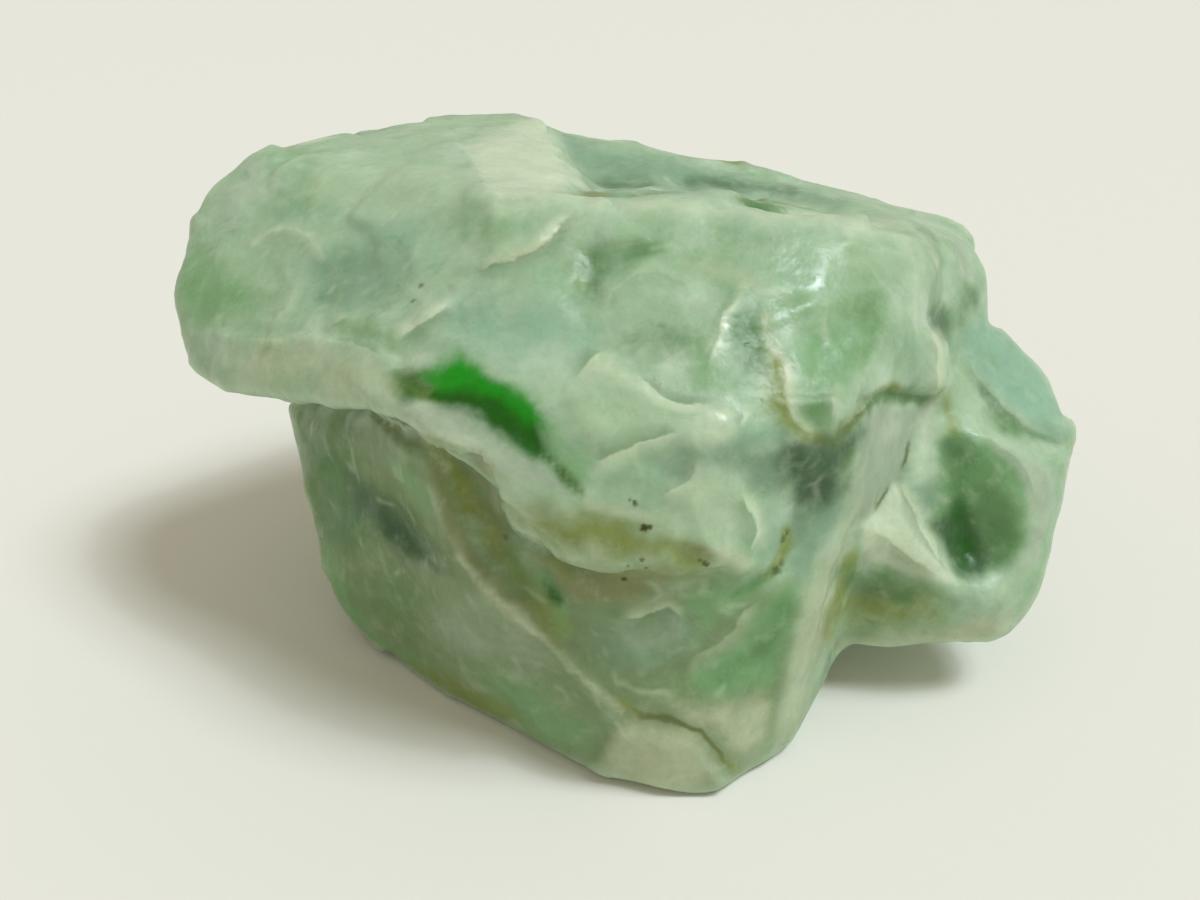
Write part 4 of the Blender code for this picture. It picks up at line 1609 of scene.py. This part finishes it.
@dataclass(frozen=True)
class Cloud:
    """A noise whose highest parts show as soft patches.

    Attributes:
        size: Its largest waves, in mm.
        detail: How many finer waves ride on them.
        start: The noise level where the patches start.
        full: The level where they are full.
        rough: How strong the finer waves are.
        strength: How strong the full patches are.
    """

    size: float
    detail: float
    start: float
    full: float
    rough: float = 0.6
    strength: float = 1.0


@dataclass(frozen=True)
class JadeFinish:
    """Waxy, cloudy jade: a sage ground under fourteen tints, with veins, rims and specks.

    Attributes:
        sage, light_sage, green_sage: The colours of the ground.
        pale_clouds, green_clouds: Its paler and greener clouds.
        vein, silk: The pale colour laid on ridges, healed cracks and silk, and the silk's
            patches.
        ridge_light, crack_light: How strongly ridges and healed cracks show.
        crack_spacing, crack_gaps: The healed cracks' spacing in mm, and where they show.
        shade, hollow_shade, under_shade: The colour of painted shade, and its strength in
        hollows and under flakes.
        edge, flake_pale_and_highlight: A flake's pale edge, partly pale stone and partly painted
            highlight
        on the lit edge, and its strength.
        crack: A dark hairline.
        rim_fray: How far noise bends the rims, in mm.
        tint_fray, tint_drift: How much fine and broad noise break the tints' outlines.
        tint_edge: The cover at which a tint starts to show, and at which it is full.
        mottle: The stone's least brightness, and what broad and fine crystals add to it.
        iron, specks, speck_fray: The specks' colour, the specks, and how ragged they are.
        gloss, ior: The shine's strength, and the stone's index of refraction.
        roughness, roughness_swing: The middle roughness, and how far patches differ from it.
        coat_roughness, polish, sparks: The roughness of the polished spots, their most
            weight, and the sparks that break them up.
        glow, glow_reach, glow_radius: How far light spreads in the stone, in mm.
        bend: How far noise bends the patterns, in mm.
        bump_height, bump_strength: Height of the finest relief in mm, and its strength.
        grit, flake_drop: How much grit and the flakes' edges add to the finest relief.
    """

    sage: Colour = (0.35, 0.51, 0.33)
    light_sage: Colour = (0.45, 0.59, 0.43)
    green_sage: Colour = (0.26, 0.44, 0.26)
    pale_clouds: Cloud = Cloud(3.1, 4.0, 0.44, 0.66)
    green_clouds: Cloud = Cloud(2.1, 4.0, 0.48, 0.70, strength=0.8)
    vein: Colour = (0.54, 0.66, 0.48)
    silk: Cloud = Cloud(1.0, 3.0, 0.50, 0.78, rough=0.65, strength=0.24)
    ridge_light: float = 0.35
    crack_light: float = 0.3
    crack_spacing: float = 3.7
    crack_gaps: Cloud = Cloud(1.5, 1.0, 0.54, 0.70)
    # Painted shade, laid in hollows and under flakes.
    shade: Colour = (0.11, 0.20, 0.10)
    hollow_shade: float = 0.4
    under_shade: float = 0.5
    # A flake's pale edge: partly pale stone, partly a painted highlight on the lit edge.
    edge: Colour = (0.58, 0.69, 0.48)
    flake_pale_and_highlight: float = 0.85
    crack: Colour = (0.12, 0.16, 0.06)
    rim_fray: float = 0.3
    tint_fray: float = 0.45
    tint_drift: float = 0.8
    tint_edge: tuple[float, float] = (0.08, 1.02)
    mottle: tuple[float, float, float] = (0.74, 0.28, 0.24)
    iron: Colour = (0.05, 0.055, 0.006)
    specks: tuple[Speck, ...] = ()
    speck_fray: float = 2.2
    gloss: float = 0.28
    ior: float = 1.5
    roughness: float = 0.36
    roughness_swing: float = 0.25
    coat_roughness: float = 0.14
    polish: float = 0.65
    sparks: Cloud = Cloud(0.4, 1.0, 0.42, 0.6)
    glow: float = 0.3
    glow_reach: float = 0.8
    glow_radius: Colour = (0.8, 1.0, 0.7)
    bend: float = 0.7
    bump_height: float = 0.035
    bump_strength: float = 0.8
    grit: float = 0.25
    flake_drop: float = 1.8

    def colours(self) -> dict[Tint, Colour]:
        """The colour of each tint."""
        return {
            # Dark olive, laid as painted shade over the lower body too.
            Tint.MOSS: (0.19, 0.28, 0.13),
            Tint.SEA: (0.27, 0.46, 0.32),
            Tint.GREY: (0.23, 0.38, 0.25),
            Tint.LEAF: (0.19, 0.38, 0.17),
            Tint.TAN: (0.24, 0.28, 0.125),
            Tint.OLIVE: (0.22, 0.28, 0.06),
            Tint.SAND: (0.46, 0.53, 0.35),
            Tint.MIST: (0.36, 0.45, 0.33),
            Tint.PALE: (0.40, 0.55, 0.36),
            Tint.DEEP: (0.10, 0.23, 0.08),
            Tint.DARK: (0.06, 0.13, 0.06),
            Tint.CREAM: (0.56, 0.67, 0.48),
            Tint.FOREST: (0.010, 0.10, 0.002),
            Tint.EMERALD: (0.010, 0.29, 0.006),
        }

    def make(self) -> bpy.types.Material:
        """Build the material."""
        made = bpy.data.materials.new("jade")
        made.use_nodes = True
        sheet = Sheet(made.node_tree)
        shader = made.node_tree.nodes["Principled BSDF"]
        point = sheet.term(sheet.add("ShaderNodeTexCoord", {}, {}), "Object")
        place = self._bent(sheet, point)
        gap = self._rim_gap(sheet, point)
        colour = self._ground(sheet, place)
        paints = self.colours()
        plain = [tint for tint in Tint if tint not in RICH_TINTS]
        colour = self._tints(sheet, place, colour, {tint: paints[tint] for tint in plain})
        colour = self._ridges_hollow_shade_and_veins(sheet, place, colour)
        colour = self._rims(sheet, gap, colour)
        colour = self._tints(sheet, place, colour, {tint: paints[tint] for tint in RICH_TINTS})
        colour = self._mottled(sheet, place, colour)
        colour = self._specks(sheet, point, colour)
        varying = {
            "Base Color": colour,
            "Roughness": self._roughness(sheet, place),
            "Normal": self._bump(sheet, point, gap),
            "Coat Weight": self._polish(sheet, place),
        }
        for name, term in varying.items():
            made.node_tree.links.new(term.socket, shader.inputs[name])
        constant = {
            "Coat Roughness": self.coat_roughness,
            "IOR": self.ior,
            "Specular IOR Level": self.gloss,
            "Subsurface Weight": self.glow,
            "Subsurface Scale": self.glow_reach * MM,
            "Subsurface Radius": self.glow_radius,
        }
        for name, value in constant.items():
            shader.inputs[name].default_value = value
        return made

    def _bent(self, sheet: Sheet, point: Term) -> Term:
        """The point on the stone, bent a little so that no pattern runs straight."""
        bend = self._noise(sheet, point, size=1.6, detail=1.0, rough=0.5, output="Color")
        centred = sheet.vector("SUBTRACT", {0: bend, 1: (0.5, 0.5, 0.5)})
        scaled = sheet.vector("SCALE", {0: centred, "Scale": self.bend * MM})
        return sheet.vector("ADD", {0: point, 1: scaled})

    def _noise(
        self, sheet: Sheet, place: Term, size: float, detail: float, rough: float = 0.6,
        output: str = "Fac",
    ) -> Term:
        """One noise.

        Args:
            sheet: The sheet.
            place: Where it is read.
            size: Its largest waves, in mm.
            detail: How many finer waves ride on them.
            rough: How strong the finer waves are.
            output: The output that is read.

        Returns:
            The noise.
        """
        made = sheet.add(
            "ShaderNodeTexNoise",
            {},
            {"Vector": place, "Scale": 1.0 / (size * MM), "Detail": detail, "Roughness": rough},
        )
        return sheet.term(made, output)

    def _cloud(self, sheet: Sheet, place: Term, cloud: Cloud) -> Term:
        """How strongly a cloud's patches show, from 0 to its strength."""
        wave = self._noise(sheet, place, cloud.size, cloud.detail, cloud.rough)
        return wave.stepped(cloud.start, cloud.full) * cloud.strength

    def _ground(self, sheet: Sheet, place: Term) -> Term:
        """Sage, with paler and greener clouds drifting in it."""
        colour = sheet.blend(
            self._cloud(sheet, place, self.pale_clouds), self.sage, self.light_sage)
        return sheet.blend(
            self._cloud(sheet, place, self.green_clouds), colour, self.green_sage)

    def _tints(
        self, sheet: Sheet, place: Term, colour: Term, paints: dict[Tint, Colour]
    ) -> Term:
        """Lay tints over a colour, their edges broken by noise.

        Args:
            sheet: The sheet.
            place: Where the noise is read.
            colour: The colour below.
            paints: The tints, in the order in which they are laid.

        Returns:
            The tinted colour.
        """
        fray = self._noise(sheet, place, size=0.65, detail=3.0, rough=0.65)
        drift = self._noise(sheet, place, size=1.9, detail=2.0)
        rough = fray.swing(self.tint_fray) + drift.swing(self.tint_drift)
        for tint, paint in paints.items():
            share = (self._layer(sheet, tint.value) + rough).stepped(*self.tint_edge)
            colour = sheet.blend(share, colour, paint)
        return colour

    def _layer(self, sheet: Sheet, name: str) -> Term:
        """A number stored on the skin's points."""
        made = sheet.add("ShaderNodeAttribute", {"attribute_name": name}, {})
        return sheet.term(made, "Fac")

    def _ridges_hollow_shade_and_veins(self, sheet: Sheet, place: Term, colour: Term) -> Term:
        """Paler ridges, painted shade in the hollows, healed cracks and silky white growth."""
        proud = self._layer(sheet, "proud")
        colour = sheet.blend(proud.stepped(0.2, 0.9) * self.ridge_light, colour, self.vein)
        # Painted shade: hollows are darkened with the shade colour.
        hollow = (0.0 - proud).stepped(0.15, 0.9) * self.hollow_shade
        colour = sheet.blend(hollow, colour, self.shade)
        cracks = sheet.add(
            "ShaderNodeTexVoronoi",
            {"feature": "DISTANCE_TO_EDGE"},
            {"Vector": place, "Scale": 1.0 / (self.crack_spacing * MM)},
        )
        thin = 1.0 - sheet.term(cracks, "Distance").stepped(0.0, 0.06)
        gaps = self._cloud(sheet, place, self.crack_gaps)
        colour = sheet.blend(thin * gaps * self.crack_light, colour, self.vein)
        return sheet.blend(self._cloud(sheet, place, self.silk), colour, self.vein)

    def _rims(self, sheet: Sheet, gap: Term, colour: Term) -> Term:
        """Pale flake edges (pale stone and painted highlight), painted shade under them, dark
        cracks.
        """
        light = self._layer(sheet, "rim_light")
        pale = light.stepped(0.0, 1.0)
        # Painted shade on each rim's low side, under the flake.
        under = gap.stepped(-0.03, 0.06) * (1.0 - gap.stepped(0.06, 0.9))
        colour = sheet.blend(under * pale * self.under_shade, colour, self.shade)
        # The flake's pale edge: partly pale stone, partly a painted highlight on the lit edge.
        inner = gap.stepped(-0.8, 0.05)
        flake = inner * inner * (1.0 - gap.stepped(-0.03, 0.07))
        colour = sheet.blend(flake * pale * self.flake_pale_and_highlight, colour, self.edge)
        thin = 1.0 - abs(gap).stepped(0.02, 0.14)
        dark = (0.0 - light).stepped(0.0, 1.0)
        return sheet.blend(thin * dark, colour, self.crack)

    def _rim_gap(self, sheet: Sheet, point: Term) -> Term:
        """How far the nearest rim is, in mm: below zero on its flake, and over zero under it."""
        wave = self._noise(sheet, point, size=0.7, detail=2.0, rough=0.6)
        return self._layer(sheet, "rim_gap") + wave.swing(self.rim_fray)

    def _specks(self, sheet: Sheet, point: Term, colour: Term) -> Term:
        """Ragged brown specks of iron."""
        wave = self._noise(sheet, point, size=0.13, detail=3.0, rough=0.7)
        ragged = wave.swing(self.speck_fray)
        for speck in self.specks:
            apart = sheet.vector("DISTANCE", {0: point, 1: speck.place}, "Value")
            away = apart / (speck.radius * MM) + ragged
            share = (1.0 - away.stepped(0.3, 1.5)) * speck.strength
            colour = sheet.blend(share, colour, self.iron)
        return colour

    def _mottled(self, sheet: Sheet, place: Term, colour: Term) -> Term:
        """Lighter and darker crystals, in two sizes."""
        broad = self._noise(sheet, place, size=1.3, detail=2.0)
        fine = self._noise(sheet, place, size=0.33, detail=3.0, rough=0.7)
        least, broad_share, fine_share = self.mottle
        value = least + broad * broad_share + fine * fine_share
        tone = sheet.add("ShaderNodeHueSaturation", {}, {"Value": value, "Color": colour})
        return sheet.term(tone)

    def _roughness(self, sheet: Sheet, place: Term) -> Term:
        """Wax-smooth, with duller patches."""
        patches = self._noise(sheet, place, size=1.1, detail=2.0, rough=0.65)
        return self.roughness + patches.swing(2.0 * self.roughness_swing)

    def _polish(self, sheet: Sheet, place: Term) -> Term:
        """Where the stone has been rubbed to a polish."""
        sparks = self._cloud(sheet, place, self.sparks)
        return self._layer(sheet, "polish") * sparks * self.polish

    def _bump(self, sheet: Sheet, point: Term, gap: Term) -> Term:
        """The finest pits, the orange-peel that breaks up the gloss, and the flakes' drop."""
        peel = self._noise(sheet, point, size=0.6, detail=1.0, rough=0.55)
        grit = self._noise(sheet, point, size=0.15, detail=0.0)
        flake = (1.0 - gap.stepped(-0.08, 0.08)) * gap.stepped(-0.9, 0.0)
        drop = flake * abs(self._layer(sheet, "rim_light")) * self.flake_drop
        made = sheet.add("ShaderNodeBump", {}, {
            "Height": peel + grit * self.grit + drop,
            "Strength": self.bump_strength,
            "Distance": self.bump_height * MM,
        })
        return sheet.term(made, "Normal")


@dataclass(frozen=True)
class PlainFinish:
    """A plain matt finish for what isn't part of the stone."""

    name: str
    colour: Colour
    roughness: float = 0.9

    def make(self) -> bpy.types.Material:
        """Build the material."""
        made = bpy.data.materials.new(self.name)
        made.use_nodes = True
        shader = made.node_tree.nodes["Principled BSDF"]
        shader.inputs["Base Color"].default_value = (*self.colour, 1.0)
        shader.inputs["Roughness"].default_value = self.roughness
        return made


# ---------------------------------------------------------------- the studio


@dataclass(frozen=True)
class Lamp:
    """A far, soft lamp.

    Attributes:
        name: Its name.
        aim: Where it stands, as seen from the stone.
        spread: How wide it looks from the stone, in degrees.
        power: How strong it is, in W/m2.
        colour: Its colour.
    """

    name: str
    aim: tuple[float, float, float]
    spread: float
    power: float
    colour: Colour


LAMP_AIM = (0.47, -0.14, 0.87)
LAMP_COLOUR = (0.93, 1.0, 1.06)


@dataclass(frozen=True)
class Studio:
    """The pale floor, the lamps and the open sky light around the stone."""

    floor_side: float = 3000.0
    floor_colour: Colour = (0.80, 0.80, 0.745)
    sky_colour: Colour = (1.0, 0.91, 0.76)
    sky_strength: float = 0.5
    lamps: tuple[Lamp, ...] = (
        Lamp("key", LAMP_AIM, 22.0, 1.75, LAMP_COLOUR),
        Lamp("spark", LAMP_AIM, 4.0, 0.25, LAMP_COLOUR),
    )

    def build(self) -> None:
        """Make the studio."""
        self._floor()
        for lamp in self.lamps:
            self._lamp(lamp)
        sky = bpy.data.worlds.new("sky")
        sky.use_nodes = True
        light = sky.node_tree.nodes["Background"]
        light.inputs["Color"].default_value = (*self.sky_colour, 1.0)
        light.inputs["Strength"].default_value = self.sky_strength
        bpy.context.scene.world = sky
        bpy.context.scene.view_settings.view_transform = "Standard"

    def _floor(self) -> None:
        """A plain pale floor, which isn't part of the stone."""
        half = self.floor_side * MM / 2
        mesh = bpy.data.meshes.new("floor")
        corners = [(-half, -half, 0.0), (half, -half, 0.0), (half, half, 0.0), (-half, half, 0.0)]
        mesh.from_pydata(corners, [], [(0, 1, 2, 3)])
        mesh.materials.append(PlainFinish("pale_floor", self.floor_colour).make())
        floor = bpy.data.objects.new("floor", mesh)
        bpy.context.scene.collection.objects.link(floor)

    def _lamp(self, lamp: Lamp) -> None:
        """One lamp, turned towards the stone."""
        light = bpy.data.lights.new(lamp.name, "SUN")
        light.energy = lamp.power
        light.angle = math.radians(lamp.spread)
        light.color = lamp.colour
        made = bpy.data.objects.new(lamp.name, light)
        made.rotation_mode = "QUATERNION"
        made.rotation_quaternion = Vector(lamp.aim).to_track_quat("Z", "Y")
        bpy.context.scene.collection.objects.link(made)


# ---------------------------------------------------------------- putting it together


def main() -> None:
    """Build the studio, the view and the stone."""
    logging.basicConfig(level=logging.INFO, format="%(name)s: %(message)s")
    view = MainView()
    view.make_camera()
    Studio().build()
    maker = Skin(view)
    skin = maker.build()
    skin.data.materials.clear()
    skin.data.materials.append(JadeFinish(specks=maker.specks()).make())
    skin.data.shade_smooth()
    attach(skin, STONE_BODY)
    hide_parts(STONE_NODE)
    log.info("%s: %d points", skin.name, len(skin.data.vertices))


if __name__ == "__main__":
    main()
